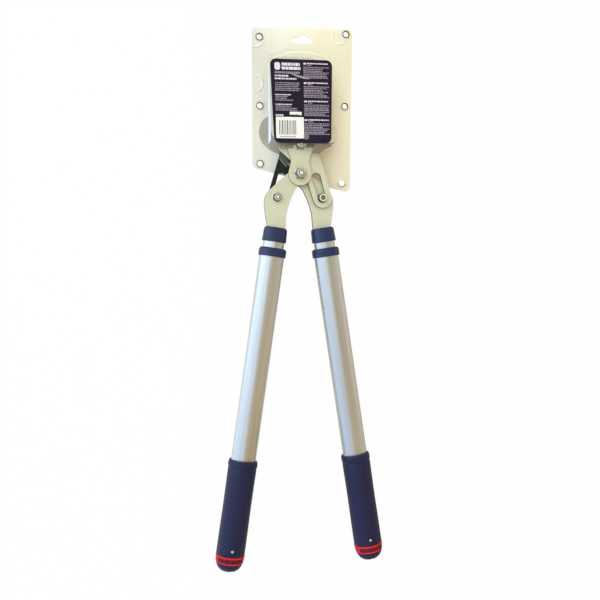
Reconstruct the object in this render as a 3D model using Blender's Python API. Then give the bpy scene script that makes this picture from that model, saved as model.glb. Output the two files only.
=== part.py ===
"""Telescopic anvil lopper in its hanging pack, built piece by piece.

The tool lies flat on its front face. The origin is on the surface it rests on, straight
below the pivot of the two handles. +Y points to the jaws, +X to the right handle, +Z up.
Sizes below are in millimetres and are turned into metres when a piece is made.
"""
import math

import bmesh
import bpy
from mathutils import Matrix, Vector

MM = 0.001
GAP = 0.3                     # running gap between two pieces that touch
ROUND_STEPS = 18              # sides of a small round piece

# Heights. The mid-plane is half a grip above the surface.
TUBE_WIDTH = 31.6             # outer tube of each handle
TUBE_THICKNESS = 24.0
GRIP_WIDTH = TUBE_WIDTH + 5.0
GRIP_THICKNESS = TUBE_THICKNESS + 10.0
MID = GRIP_THICKNESS / 2

# Head: two layers of 5 mm steel between two link plates
ARM_THICKNESS = 5.0
PLATE_THICKNESS = 3.0
PIVOT_SPACING = 36.5          # from the handle pivot to the jaw pivot
PLATE_LOW_RADIUS = 14.8
PLATE_HIGH_RADIUS = 17.8
PLATE_WAIST = 11.6            # half the plate's width at its waist
PLATE_WAIST_AT = 0.4          # share of the pivot spacing
PLATE_FLARE = 1.2             # how much the plate's sides lean out next to the waist
PLATE_SHOULDER = 2.6
HUB_RADIUS = 12.6             # round end of each arm at the handle pivot

# Main bolts, M8 with a lock nut
BOLT_RADIUS = 4.0
BUSH_WALL = 1.8
NUT_FLATS = 13.0
NUT_HEIGHT = 8.0
HEAD_HEIGHT = 5.3
BOLT_END = 1.0                # bolt standing out of its nut
BOLT_CHAMFER = 0.6
BOLT_BORE = 0.3               # radial, bolt in plates and nuts
NUT_HEX_SHARE = 0.72          # share of a lock nut's height that is hexagonal
CROWN_CHAMFER = 0.8
BUSH_CLEARANCE = 0.1          # radial, bolt in bush and bush in bore

# Slot bolts, M6: one through each arm, running in the slot of the jaw behind it
SLOT_BOLT_RADIUS = 3.0
SLOT_NUT_FLATS = 10.0
SLOT_NUT_HEIGHT = 6.0
SLOT_HEAD_RADIUS = 5.0
SLOT_HEAD_HEIGHT = 5.6
SLOT_SOCKET_FLATS = 5.0
SLOT_SOCKET_DEPTH = 3.0
SLOT_NUT_CROWN = 1.8          # round end of the slot bolt's nut
WASHER_RADIUS = 6.0
WASHER_THICKNESS = 1.2
ROLLER_RADIUS = 5.0
SLOT_CLEARANCE = 0.3
SLOT_FLARE = 0.8              # the slot's upper end is wider by this, all round
PIN_X = 29.0                  # slot bolt from the handle pivot, sideways
PIN_Y = 30.0                  # and towards the grips
SLOT_TRAVEL = 27.0
TAIL_TILT = 16.7              # degrees between a jaw's tail and the centre line
TAIL_OUTER = 11.2             # metal from the slot's middle to the tail's outer edge
TAIL_INNER = 13.3             # and to its inner edge
ANVIL_TAIL_SHIFT = 1.6        # the anvil jaw's tail lies this much further out round its slot
RELIEF_CLEARANCE = 0.7        # round the other arm's hub, as the jaw turns
NOTCH_RADIUS = 3.2            # small bite in the blade beside that relief
NOTCH_X = 11.6
NOTCH_Y = 13.4
JAW_TURN = 17.8               # degrees each jaw opens

# Jaws
JAW_LENGTH = 90.0             # from the jaw pivot to the tip
JAW_BASE = 26.8               # half width of both jaws at their pivot
JAW_FLANK = 11.6              # the base's lower corner, below the jaw pivot
JAW_THROAT = ((21.6, 1.0), (15.6, 9.6), (8.0, 13.2))    # from the jaw pivot, tail side
ANVIL_THROAT = ((1.6, 16.4), (0.0, 22.0))
ANVIL_BACK = ((9.0, 0.98), (13.6, 0.89), (16.4, 0.66), (19.6, 0.44), (24.0, 0.2))   # width, share of length
BLADE_HEEL = 14.4             # start of the cutting edge
BLADE_BACK = ((9.0, 0.86), (16.0, 0.68), (22.0, 0.46), (25.8, 0.22))
TIP_ROUND = 3.2
TAIL_SHOULDER = 6.0           # the tail's outer edge ends this far below the jaw pivot
BLADE_EDGE_WIDTH = 9.0        # ground bevel along the cutting edge
BLADE_EDGE_THICKNESS = 0.8
ANVIL_WIDTH = 13.4
ANVIL_HEIGHT = 6.4
ANVIL_START = 18.5            # from the jaw pivot
ANVIL_END_MARGIN = 7.0
ANVIL_SCREW_RADIUS = 2.0
ANVIL_SCREW_HEAD = 3.6
ANVIL_SCREW_CROWN = 2.2       # height of the screw's head
ANVIL_SCREW_INSET = 13.0      # screws from the anvil's ends
ANVIL_SCREW_SINK = 0.8        # screw's end inside the anvil's face

# Handles: each lies along a tilted line that passes beside the handle pivot
HANDLE_TILT = 8.4             # degrees, half the angle between the closed handles
HANDLE_OFFSET = 19.8          # from the handle pivot to the handle's middle line
COLLAR_TOP = 71.3             # along the handle, from the pivot to the upper collar
COLLAR_HEIGHT = 18.0
COLLAR_SPACE = 8.0            # inner tube that shows between the collars
RING_HEIGHT = 11.0
RING_LIP = 3.0                # part of the lower collar above the outer tube
RING_WALL = 1.7               # of the lower collar round the outer tube
TUBE_WALL = 1.6
TUBE_CLEARANCE = 0.7          # between the two tubes
INNER_WIDTH = TUBE_WIDTH - 2 * (TUBE_WALL + TUBE_CLEARANCE)
INNER_THICKNESS = TUBE_THICKNESS - 2 * (TUBE_WALL + TUBE_CLEARANCE)
INNER_WALL = 1.5
COLLAR_WALL = 2.0             # the upper collar stands proud of the inner tube by this
COLLAR_WIDTH = INNER_WIDTH + 2 * COLLAR_WALL
COLLAR_THICKNESS = INNER_THICKNESS + 2 * COLLAR_WALL + 0.2
RING_WIDTH = TUBE_WIDTH + 2 * RING_WALL
RING_THICKNESS = TUBE_THICKNESS + 2 * RING_WALL
SLIDE_CLEARANCE = 0.4         # inner tube in the collar
INNER_END = 466.0             # along the handle
GRIP_START = 370.0
GRIP_RIM = 0.4                # the rim at the grip's mouth stands proud by this
GRIP_RIM_LENGTH = 9.5
BAND_START = 491.0
BAND_HEIGHT = 10.2
CAP_END = 514.0
CAP_ROUND_START = 492.0       # where the rounding of the handle's end begins
CAP_FULLNESS = 2.6            # 2 gives a quarter of an ellipse; more is blunter
PLUG_DEPTH = 20.0             # how far plugs reach into the tubes
GRIP_SCREW_AT = 483.0
GRIP_SCREW_RADIUS = 1.5
GRIP_SCREW_HEAD = 2.3
GRIP_SCREW_SINK = 1.2
GRIP_SCREW_REACH = 12.0       # from the grip's face to the screw's end
BAND_PROUD = 0.15
TANG_WIDTH = 15.0
TANG_END = COLLAR_TOP + 34.7
TANG_PIN_AT = TANG_END - 8.0
TANG_PIN_RADIUS = 2.0
ARM_END_WIDTH = 23.6          # the arm where it meets the upper collar
ARM_OUTER = ((15.2, -19.0), (16.1, -9.0), (15.4, -0.6), (12.4, 6.4), (6.8, 11.8))  # from the slot bolt
ARM_CROOK = ((2.0, -0.65), (1.22, 0.03), (0.92, 0.41))    # from the pivot, in hub radii
ARM_FORK = ((0.11, -1.21), (0.46, -1.63))
ARM_INNER = ((-18.2, -1.0), (-14.5, -11.4), (-12.0, -22.0))    # from the slot bolt
HUB_SPAN = (58.0, 262.0)      # degrees of the hub's round end
TUBE_STEPS = 32
TUBE_CREASE = 0.3             # share of the ridge in the tubes' section

# Lock lever on the far side of each lower collar
HOUSING_WIDTH = TUBE_WIDTH * 0.5
LEVER_WIDTH = HOUSING_WIDTH - 6.6
LEVER_PIVOT_AT = 114.0        # along the handle
LEVER_FRONT = 102.6
LEVER_BACK = 130.5
LEVER_THICKNESS = 2.8
LEVER_DEPTH = TUBE_THICKNESS / 2 + 4.0    # from the mid-plane to the lever's outer face
LEVER_PIVOT_DEPTH = LEVER_DEPTH - LEVER_THICKNESS / 2
LEVER_PIN_RADIUS = 0.9
HOUSING_END = 133.5
TOOTH_WIDTH = 5.0
TOOTH_LENGTH = 3.5
POCKET_CLEARANCE = 0.5        # round the lever in its housing
SPRING_NOTCH = 2.4            # width cut from the lever for its spring
SPRING_WIRE = 0.4
SPRING_RADIUS = 1.75
SPRING_PITCH = 0.95
SPRING_TURNS = 2

# Pack
SHEET_LEFT = -57.0
SHEET_RIGHT = 71.0
SHEET_TOP_LEFT = 185.5        # the sheets are cut a little askew
SHEET_TOP_RIGHT = 191.5
SHEET_LOW_LEFT = 10.0
SHEET_LOW_RIGHT = -20.0
SHEET_LEAN = 3.6              # the right side's top end lies this much further out
SHEET_CORNER = 6.0
BACK_SHEET_THICKNESS = 1.0
COVER_WALL = 0.8
BUBBLE_HALF_WIDTH = 42.3
BUBBLE_MOUTH = 26.0
BUBBLE_TOP = 144.0            # where the straight sides end
BUBBLE_CROWN = 7.0            # rise of the top end's arch
CROWN_SHARE = 0.45            # share of the width at which the arch is highest
BUBBLE_CORNER = 14.0
MOUTH_APRON = 12.0            # the flat sheet is open this far below the mouth
BUBBLE_HEIGHT = 38.3
BUBBLE_EDGE = 6.0             # rounding of its shoulder
LOBE_HALF_WIDTH = 53.0
LOBE_CENTRE = 54.0
LOBE_HALF_LENGTH = 27.0
LOBE_HEIGHT = 15.0
LOBE_EDGE = 4.0
LOBE_STEPS = 28
CARD_HALF_WIDTH = 39.2
CARD_SHIFT = 0.8              # its middle lies this far to the right
CARD_LOW = 36.0
CARD_HIGH = 138.0
CARD_TAPER = 3.2              # the card is narrower at its lower end
CARD_TURN = 1.1               # degrees that the card sits askew
CARD_CORNER = 7.0
CARD_THICKNESS = 0.5
PANEL_BOX = (-33.5, 41.5, 1.5, 67.5)
STICKER_BOX = (-16.0, 70.0, -1.0, 74.0)
STICKER_THICKNESS = 0.2
STICKER_CORNER = 0.8
EYELET_RADIUS = 4.8
EYELET_HOLE = 3.4
EYELET_WALL = 0.6
EYELET_INSET_LEFT = 9.4       # from the sheet's left side
EYELET_INSET_RIGHT = 8.6      # and from its right side
EYELET_DROP_LEFT = 10.9       # below its top corners
EYELET_DROP_RIGHT = 7.0
EYELET_RISE = 4.8             # above its lower left corner
EYELET_MIDDLE_LEFT = 88.1     # heights of the two in the middle
EYELET_MIDDLE_RIGHT = 91.8
BARE_HOLE_RADIUS = 4.3
BARE_HOLE_INSET = 10.8        # from the sheet's lower right corner, sideways
BARE_HOLE_RISE = 12.4
HANG_HOLE_WIDTH = 33.0
HANG_HOLE_HEIGHT = 8.2        # of its two wings
HANG_HOLE_CROWN = 5.2         # radius of the bow over its middle
HANG_HOLE_DROP = 15.0         # from the sheet's top edge

NEAR_LAYER = (GAP / 2, GAP / 2 + ARM_THICKNESS)
FAR_LAYER = (-NEAR_LAYER[1], -NEAR_LAYER[0])
PLATE_INNER = NEAR_LAYER[1] + GAP
PLATE_OUTER = PLATE_INNER + PLATE_THICKNESS
BUSH_RADIUS = BOLT_RADIUS + BUSH_CLEARANCE + BUSH_WALL
BORE_RADIUS = BUSH_RADIUS + BUSH_CLEARANCE
SLOT_HALF = ROLLER_RADIUS + SLOT_CLEARANCE
COLLAR_BOTTOM = COLLAR_TOP + COLLAR_HEIGHT
RING_TOP = COLLAR_BOTTOM + COLLAR_SPACE
RING_BOTTOM = RING_TOP + RING_HEIGHT
TUBE_START = RING_TOP + RING_LIP
BAND_END = BAND_START + BAND_HEIGHT
TUBE_END = BAND_END - GAP
LAYER_OF_SIDE = {-1: NEAR_LAYER, 1: FAR_LAYER}
SIDE_NAMES = {-1: "left", 1: "right"}


def clear_scene():
    for old in list(bpy.data.objects):
        bpy.data.objects.remove(old, do_unlink=True)


def material(name, colour, roughness, metallic=0.0):
    made = bpy.data.materials.new(name)
    made.use_nodes = True
    shader = made.node_tree.nodes["Principled BSDF"]
    shader.inputs["Base Color"].default_value = (*colour, 1.0)
    shader.inputs["Roughness"].default_value = roughness
    shader.inputs["Metallic"].default_value = metallic
    return made


def empty(name, location, turn=0.0):
    """A joint's frame: the pieces that move with it are parented to it."""
    made = bpy.data.objects.new(name, None)
    made.location = [value * MM for value in location]
    made.rotation_euler = (0.0, 0.0, math.radians(turn))
    bpy.context.scene.collection.objects.link(made)
    return made


def to_object(name, bm, finish, parent=None, smooth_angle=35.0):
    """Turn a bmesh in millimetres into an object in metres."""
    bmesh.ops.recalc_face_normals(bm, faces=bm.faces)
    bmesh.ops.scale(bm, vec=(MM, MM, MM), verts=bm.verts)
    mesh = bpy.data.meshes.new(name)
    bm.to_mesh(mesh)
    bm.free()
    mesh.materials.append(finish)
    mesh.shade_smooth()
    mesh.set_sharp_from_angle(angle=math.radians(smooth_angle))
    made = bpy.data.objects.new(name, mesh)
    bpy.context.scene.collection.objects.link(made)
    made.parent = parent
    return made


def combine(piece, tool_bm, operation="DIFFERENCE"):
    """Cut, join or intersect a piece with a tool given in the piece's own millimetres."""
    tool = to_object(piece.name + "_tool", tool_bm, piece.data.materials[0])
    matrix = piece.matrix_basis.copy()
    parent = piece.parent
    piece.parent = None
    piece.matrix_basis = Matrix()
    step = piece.modifiers.new("combine", "BOOLEAN")
    step.operation = operation
    step.object = tool
    step.solver = "EXACT"
    graph = bpy.context.evaluated_depsgraph_get()
    result = bpy.data.meshes.new_from_object(piece.evaluated_get(graph))
    piece.modifiers.clear()
    piece.data = result
    result.shade_smooth()
    result.set_sharp_from_angle(angle=math.radians(35.0))
    piece.parent = parent
    piece.matrix_basis = matrix
    bpy.data.objects.remove(tool, do_unlink=True)
    return piece


def loft(rings, closed=False):
    """Skin a row of rings with as many points each, and close both ends or the loop."""
    bm = bmesh.new()
    rows = [[bm.verts.new(point) for point in ring] for ring in rings]
    pairs = list(zip(rows, rows[1:]))
    if closed:
        pairs.append((rows[-1], rows[0]))
    for low, high in pairs:
        count = len(low)
        for index in range(count):
            following = (index + 1) % count
            bm.faces.new((low[index], low[following], high[following], high[index]))
    if not closed:
        bm.faces.new(list(reversed(rows[0])))
        bm.faces.new(rows[-1])
    return bm


def prism(outline, low, high):
    """A flat plate with the given outline between two heights."""
    return loft([[(x, y, z) for x, y in outline] for z in (low, high)])


def circle(radius, centre=(0.0, 0.0), steps=ROUND_STEPS, start=0.0):
    turns = [start + 360.0 * step / steps for step in range(steps)]
    return [polar(radius, turn, centre) for turn in turns]


def hexagon(flats, centre=(0.0, 0.0)):
    return circle(flats / math.sqrt(3), centre, steps=6, start=30.0)


def polar(radius, degrees, centre=(0.0, 0.0)):
    angle = math.radians(degrees)
    return (centre[0] + radius * math.cos(angle), centre[1] + radius * math.sin(angle))


def arc(centre, radius, first, last, steps):
    return [polar(radius, first + (last - first) * step / steps, centre) for step in range(steps + 1)]


def curve_through(points, steps=3):
    """A smooth line through the points, with a few steps between each two."""
    padded = [points[0]] + list(points) + [points[-1]]
    line = []
    for index in range(len(points) - 1):
        before, start, end, after = (Vector(p) for p in padded[index:index + 4])
        for step in range(steps):
            t = step / steps
            point = 0.5 * (
                2 * start
                + (end - before) * t
                + (2 * before - 5 * start + 4 * end - after) * t * t
                + (3 * start - before - 3 * end + after) * t ** 3
            )
            line.append(tuple(point))
    line.append(tuple(points[-1]))
    return line


def rounded(corners, radius, inset=0.0, steps=5):
    """A convex outline, counter-clockwise, with round corners, moved in by an inset."""
    outline = []
    count = len(corners)
    for index, corner in enumerate(corners):
        here = Vector(corner)
        back = (Vector(corners[index - 1]) - here).normalized()
        ahead = (Vector(corners[(index + 1) % count]) - here).normalized()
        half = back.angle(ahead) / 2
        middle = (back + ahead).normalized()
        centre = here + middle * (radius / math.sin(half))
        first = math.atan2(back.x, -back.y)
        last = math.atan2(-ahead.x, ahead.y)
        if last < first:
            last += 2 * math.pi
        reach = max(radius - inset, 0.02)
        for step in range(steps + 1):
            angle = first + (last - first) * step / steps
            outline.append((centre.x + reach * math.cos(angle), centre.y + reach * math.sin(angle)))
    return outline


def mirrored(outline, side):
    """The outline as drawn for side +1, or its mirror image for side -1."""
    if side > 0:
        return list(outline)
    return [(-x, y) for x, y in reversed(outline)]


def drill(piece, centre, radius, low=-60.0, high=60.0):
    return combine(piece, prism(circle(radius, centre), low, high))


def flipped(span, side):
    """A height span for the side whose layer is far, or turned over for the other side."""
    if side > 0:
        return span
    return (-span[1], -span[0])


def turned(profile, centre=(0.0, 0.0), steps=ROUND_STEPS):
    """A solid of revolution along Z from (radius, height) pairs, closed at both ends."""
    rings = [[(x, y, z) for x, y in circle(radius, centre, steps)] for radius, z in profile]
    return loft(rings)


def tube_ring(outer, inner, low, high, centre=(0.0, 0.0), steps=ROUND_STEPS):
    """A plain ring along Z."""
    corners = ((outer, low), (outer, high), (inner, high), (inner, low))
    rings = [[(x, y, z) for x, y in circle(radius, centre, steps)] for radius, z in corners]
    return loft(rings, closed=True)


# Head

def link_plates(finish):
    """Two hourglass plates that hold the handle pivot and the jaw pivot."""
    waist_at = PIVOT_SPACING * PLATE_WAIST_AT
    above = PIVOT_SPACING - waist_at
    side = curve_through([
        polar(PLATE_LOW_RADIUS, 4.0),
        (PLATE_LOW_RADIUS - PLATE_FLARE, waist_at * 0.4),
        (PLATE_WAIST, waist_at),
        (PLATE_WAIST + PLATE_FLARE, waist_at + above * 0.3),
        (PLATE_HIGH_RADIUS - PLATE_SHOULDER, waist_at + above * 0.6),
        (PLATE_HIGH_RADIUS, PIVOT_SPACING),
    ])
    top = arc((0.0, PIVOT_SPACING), PLATE_HIGH_RADIUS, 0.0, 180.0, 16)[1:-1]
    bottom = arc((0.0, 0.0), PLATE_LOW_RADIUS, 176.0, 364.0, 16)[1:-1]
    outline = side + top + mirrored(side, -1) + bottom
    head = empty("head", (0.0, 0.0, MID))
    for name, span in (("link_plate_near", (PLATE_INNER, PLATE_OUTER)),
                       ("link_plate_far", (-PLATE_OUTER, -PLATE_INNER))):
        plate = to_object(name, prism(outline, *span), finish, head)
        for pivot in ((0.0, 0.0), (0.0, PIVOT_SPACING)):
            drill(plate, pivot, BOLT_RADIUS + BOLT_BORE)
    return head


def main_bolt(name, centre, head, steel, bush_finish):
    """Hex bolt from the far side, lock nut on the near side, and a bush between the plates."""
    seat = PLATE_OUTER + GAP
    top = seat + NUT_HEIGHT + BOLT_END
    shank = turned([(BOLT_RADIUS, -seat - BOLT_END), (BOLT_RADIUS, top - BOLT_CHAMFER),
                    (BOLT_RADIUS - BOLT_CHAMFER, top)], centre)
    bolt = to_object(name + "_bolt", shank, steel, head)
    combine(bolt, prism(hexagon(NUT_FLATS, centre), -seat - HEAD_HEIGHT, -seat), "UNION")
    collar = seat + NUT_HEIGHT * NUT_HEX_SHARE
    outer = NUT_FLATS / 2 - GAP
    nut = prism(hexagon(NUT_FLATS, centre), seat, collar)
    nut_piece = to_object(name + "_nut", nut, steel, head)
    crown = turned([(outer, collar - CROWN_CHAMFER), (outer, seat + NUT_HEIGHT - CROWN_CHAMFER),
                    (outer - CROWN_CHAMFER, seat + NUT_HEIGHT)], centre)
    combine(nut_piece, crown, "UNION")
    drill(nut_piece, centre, BOLT_RADIUS + BOLT_BORE)
    bush = tube_ring(BUSH_RADIUS, BOLT_RADIUS + BUSH_CLEARANCE,
                     -PLATE_INNER + GAP / 2, PLATE_INNER - GAP / 2, centre)
    to_object(name + "_bush", bush, bush_finish, head)


def slot_bolt(side, frame, steel, bush_finish):
    """M6 socket bolt with washer and roller in the jaw's slot, nut on the arm."""
    name = SIDE_NAMES[side]
    centre = (side * PIN_X, -PIN_Y)
    arm_face = NEAR_LAYER[1] + GAP

    def span(low, high):
        return flipped((low, high), side)

    head_low = arm_face + WASHER_THICKNESS + GAP
    head_high = head_low + SLOT_HEAD_HEIGHT
    nut_low = -(arm_face + SLOT_NUT_HEIGHT)
    tip = nut_low - BOLT_END
    bolt = to_object(name + "_slot_bolt", prism(circle(SLOT_BOLT_RADIUS, centre), *span(tip, head_low + 1)),
                     steel, frame)
    combine(bolt, prism(circle(SLOT_HEAD_RADIUS, centre), *span(head_low, head_high)), "UNION")
    socket = prism(hexagon(SLOT_SOCKET_FLATS, centre), *span(head_high - SLOT_SOCKET_DEPTH, head_high + 1.0))
    combine(bolt, socket)
    hex_low = nut_low + SLOT_NUT_CROWN
    nut = to_object(name + "_slot_nut", prism(hexagon(SLOT_NUT_FLATS, centre), *span(hex_low, -arm_face)),
                    steel, frame)
    crown = prism(circle(SLOT_NUT_FLATS / 2 - GAP, centre), *span(nut_low, hex_low + GAP))
    combine(nut, crown, "UNION")
    drill(nut, centre, SLOT_BOLT_RADIUS + GAP)
    washer = tube_ring(WASHER_RADIUS, SLOT_BOLT_RADIUS + GAP, *span(arm_face, arm_face + WASHER_THICKNESS),
                       centre=centre)
    to_object(name + "_slot_washer", washer, steel, frame)
    roller = tube_ring(ROLLER_RADIUS, SLOT_BOLT_RADIUS + BUSH_CLEARANCE, *span(*NEAR_LAYER), centre=centre)
    to_object(name + "_slot_roller", roller, bush_finish, frame)


def handle_point(across, along):
    """From handle coordinates to the head's, for the right handle."""
    tilt = math.radians(HANDLE_TILT)
    return (across * math.cos(tilt) + along * math.sin(tilt),
            across * math.sin(tilt) - along * math.cos(tilt))


def arm(side, frame, finish):
    """Curved steel arm: hub at the handle pivot, bolt hole, and a tang for the collar."""
    shoulder = COLLAR_TOP - GAP
    half = ARM_END_WIDTH / 2
    tang = TANG_WIDTH / 2
    outer_end = handle_point(HANDLE_OFFSET + half, shoulder)
    inner_end = handle_point(HANDLE_OFFSET - half, shoulder)

    def from_bolt(points):
        return [(PIN_X + x, y - PIN_Y) for x, y in points]

    def from_hub(points):
        return [(x * HUB_RADIUS, y * HUB_RADIUS) for x, y in points]

    outer = curve_through([outer_end] + from_bolt(ARM_OUTER) + from_hub(ARM_CROOK)
                          + [polar(HUB_RADIUS, HUB_SPAN[0])])
    hub = arc((0.0, 0.0), HUB_RADIUS, *HUB_SPAN, 16)[1:-1]
    inner = curve_through([polar(HUB_RADIUS, HUB_SPAN[1])] + from_hub(ARM_FORK)
                          + from_bolt(ARM_INNER) + [inner_end])
    tang_points = [
        handle_point(HANDLE_OFFSET - tang, shoulder),
        handle_point(HANDLE_OFFSET - tang, TANG_END),
        handle_point(HANDLE_OFFSET + tang, TANG_END),
        handle_point(HANDLE_OFFSET + tang, shoulder),
    ]
    outline = mirrored(outer + hub + inner + tang_points, side)
    piece = to_object(SIDE_NAMES[side] + "_arm", prism(outline, *LAYER_OF_SIDE[side]), finish, frame)
    drill(piece, (0.0, 0.0), BORE_RADIUS)
    drill(piece, (side * PIN_X, -PIN_Y), SLOT_BOLT_RADIUS + GAP)
    pin_x, pin_y = handle_point(HANDLE_OFFSET, TANG_PIN_AT)
    drill(piece, (side * pin_x, pin_y), TANG_PIN_RADIUS + GAP)
    return piece


def jaw_blank(upper, shift=0.0):
    """Outline of a jaw whose tail goes to the right, seen from its pivot.

    The lower part is the same for both jaws: a straight tail round the slot, a relief
    that clears the other arm's hub as the jaw turns, and a base beside it.
    """
    tilt = math.radians(TAIL_TILT)
    along = Vector((math.sin(tilt), -math.cos(tilt)))
    outward = Vector((math.cos(tilt), math.sin(tilt)))
    pin = Vector((PIN_X, -PIN_Y - PIVOT_SPACING))
    hub = Vector((0.0, -PIVOT_SPACING))
    relief = HUB_RADIUS + RELIEF_CLEARANCE
    outer_reach = TAIL_OUTER + shift
    inner_reach = TAIL_INNER - shift
    middle = pin + outward * (outer_reach - inner_reach) / 2
    half = (outer_reach + inner_reach) / 2
    turn = TAIL_TILT
    end = arc(tuple(middle), half, turn - 180.0, turn, 14)
    inner_edge = pin - outward * inner_reach
    offset = (hub - inner_edge).dot(outward)
    foot = hub - outward * offset
    reach = math.sqrt(relief ** 2 - offset ** 2)
    meet = foot + along * reach
    first = math.degrees(math.atan2(meet.y - hub.y, meet.x - hub.x))
    relief_arc = arc(tuple(hub), relief, 90.0, first, 10)
    sweep = arc((0.0, 0.0), PIVOT_SPACING - relief, 270.0 - JAW_TURN - 4.0, 270.0, 6)[:-1]
    shoulder = pin + outward * outer_reach - along * (PIVOT_SPACING + PIN_Y - TAIL_SHOULDER)
    base = curve_through([
        (-JAW_BASE, GAP),
        (-JAW_BASE, -JAW_FLANK / 2),
        (-JAW_BASE * 0.77, -JAW_FLANK),
        polar(PIVOT_SPACING - relief, 270.0 - JAW_TURN - 9.0),
        sweep[0],
    ])
    return end + [tuple(shoulder)] + upper + base + sweep[1:] + relief_arc


def jaw(name, outline, layer, mirror, frame, finish):
    """Extrude a jaw, and cut its bore and its slot."""
    piece = to_object(name, prism(mirrored(outline, mirror), *layer), finish, frame)
    drill(piece, (0.0, 0.0), BORE_RADIUS)
    tilt = math.radians(TAIL_TILT)
    pin = Vector((PIN_X, -PIN_Y - PIVOT_SPACING))
    top = pin - Vector((math.sin(tilt), -math.cos(tilt))) * SLOT_TRAVEL
    slot = arc(tuple(top), SLOT_HALF + SLOT_FLARE, TAIL_TILT, TAIL_TILT + 180.0, 10)
    slot += arc(tuple(pin), SLOT_HALF, TAIL_TILT + 180.0, TAIL_TILT + 360.0, 10)
    combine(piece, prism(mirrored(slot, mirror), layer[0] - 1, layer[1] + 1))
    return piece


def anvil_jaw(frame, finish, plate_finish, steel):
    """Light jaw: tail to the right, anvil arm to the left, with a soft metal anvil under it."""
    edge = GAP / 2
    back = [(-width, JAW_LENGTH * share) for width, share in ANVIL_BACK]
    upper = curve_through(list(JAW_THROAT) + [(x - edge, y) for x, y in ANVIL_THROAT])
    upper += curve_through([(-edge, JAW_LENGTH - TIP_ROUND), (-TIP_ROUND, JAW_LENGTH)] + back)
    piece = jaw("anvil_jaw", jaw_blank(upper, ANVIL_TAIL_SHIFT), NEAR_LAYER, 1, frame, finish)
    anvil_end = JAW_LENGTH - ANVIL_END_MARGIN
    corners = [(-edge - ANVIL_WIDTH, ANVIL_START), (-edge, ANVIL_START),
               (-edge, anvil_end), (-edge - ANVIL_WIDTH, anvil_end)]
    top = NEAR_LAYER[0] - GAP
    anvil = to_object("anvil_plate", prism(rounded(corners, 1.2), top - ANVIL_HEIGHT, top), plate_finish, frame)
    for number, along in enumerate((ANVIL_START + ANVIL_SCREW_INSET, anvil_end - ANVIL_SCREW_INSET), 1):
        place = (-edge - ANVIL_WIDTH / 2, along)
        drill(piece, place, ANVIL_SCREW_RADIUS + GAP)
        drill(anvil, place, ANVIL_SCREW_RADIUS + GAP)
        face = NEAR_LAYER[1] + GAP
        screw = turned([(ANVIL_SCREW_RADIUS, top - ANVIL_HEIGHT + ANVIL_SCREW_SINK), (ANVIL_SCREW_RADIUS, face),
                        (ANVIL_SCREW_HEAD, face), (ANVIL_SCREW_HEAD, face + ANVIL_SCREW_CROWN / 2),
                        (ANVIL_SCREW_RADIUS, face + ANVIL_SCREW_CROWN)], place, 14)
        to_object("anvil_screw_%d" % number, screw, steel, frame)


def blade(frame, finish):
    """Black jaw: tail to the left, cutting blade to the right, ground thin along its edge."""
    edge = GAP / 2
    back = [(-width, JAW_LENGTH * share) for width, share in BLADE_BACK]
    upper = curve_through(list(JAW_THROAT) + [(-edge, BLADE_HEEL)])
    upper += curve_through([(-edge, JAW_LENGTH), (-TIP_ROUND, JAW_LENGTH - TIP_ROUND / 2)] + back)
    piece = jaw("blade", jaw_blank(upper), FAR_LAYER, -1, frame, finish)
    drill(piece, (-NOTCH_X, -PIVOT_SPACING + NOTCH_Y), NOTCH_RADIUS)
    middle = (FAR_LAYER[0] + FAR_LAYER[1]) / 2
    thin = BLADE_EDGE_THICKNESS / 2
    for sign in (-1, 1):
        face = middle + sign * ARM_THICKNESS / 2
        far = face + sign * 2.0
        wedge = [
            [(edge - 1.0, y, far), (edge - 1.0, y, middle + sign * thin), (edge, y, middle + sign * thin),
             (edge + BLADE_EDGE_WIDTH, y, face), (edge + BLADE_EDGE_WIDTH, y, far)]
            for y in (ANVIL_START - 1.0, JAW_LENGTH + 4.0)
        ]
        combine(piece, loft(wedge))


# Handles

def section(width, thickness, crease=0.0, power=2.4):
    """An oval across a handle; a crease lifts a soft ridge along its near and far faces."""
    half_width = width / 2
    half_thickness = thickness / 2
    points = []
    for step in range(TUBE_STEPS):
        angle = 2 * math.pi * step / TUBE_STEPS
        cosine, sine = math.cos(angle), math.sin(angle)
        x = half_width * math.copysign(abs(cosine) ** (2 / power), cosine)
        z = half_thickness * math.copysign(abs(sine) ** (2 / power), sine)
        ridge = math.copysign(half_thickness * (1 - abs(x) / half_width), z)
        if abs(sine) < 1e-9:
            ridge = 0.0
        points.append((x, (1 - crease) * z + crease * ridge))
    return points


def handle_rings(side, stations):
    """Rings along the handle from (along, section) pairs, in the handle's own frame."""
    return [[(side * (HANDLE_OFFSET + x), -along, z) for x, z in outline] for along, outline in stations]


def handle_box(side, across, along, depth):
    """A box in the handle's frame, from spans across it, along it and in depth."""
    rings = []
    for distance in along:
        corners = ((across[0], depth[0]), (across[1], depth[0]), (across[1], depth[1]), (across[0], depth[1]))
        rings.append([(side * (HANDLE_OFFSET + x), -distance, z) for x, z in corners])
    return loft(rings)


def tube_section(width, thickness):
    return section(width, thickness, TUBE_CREASE, 2.6)


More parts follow.
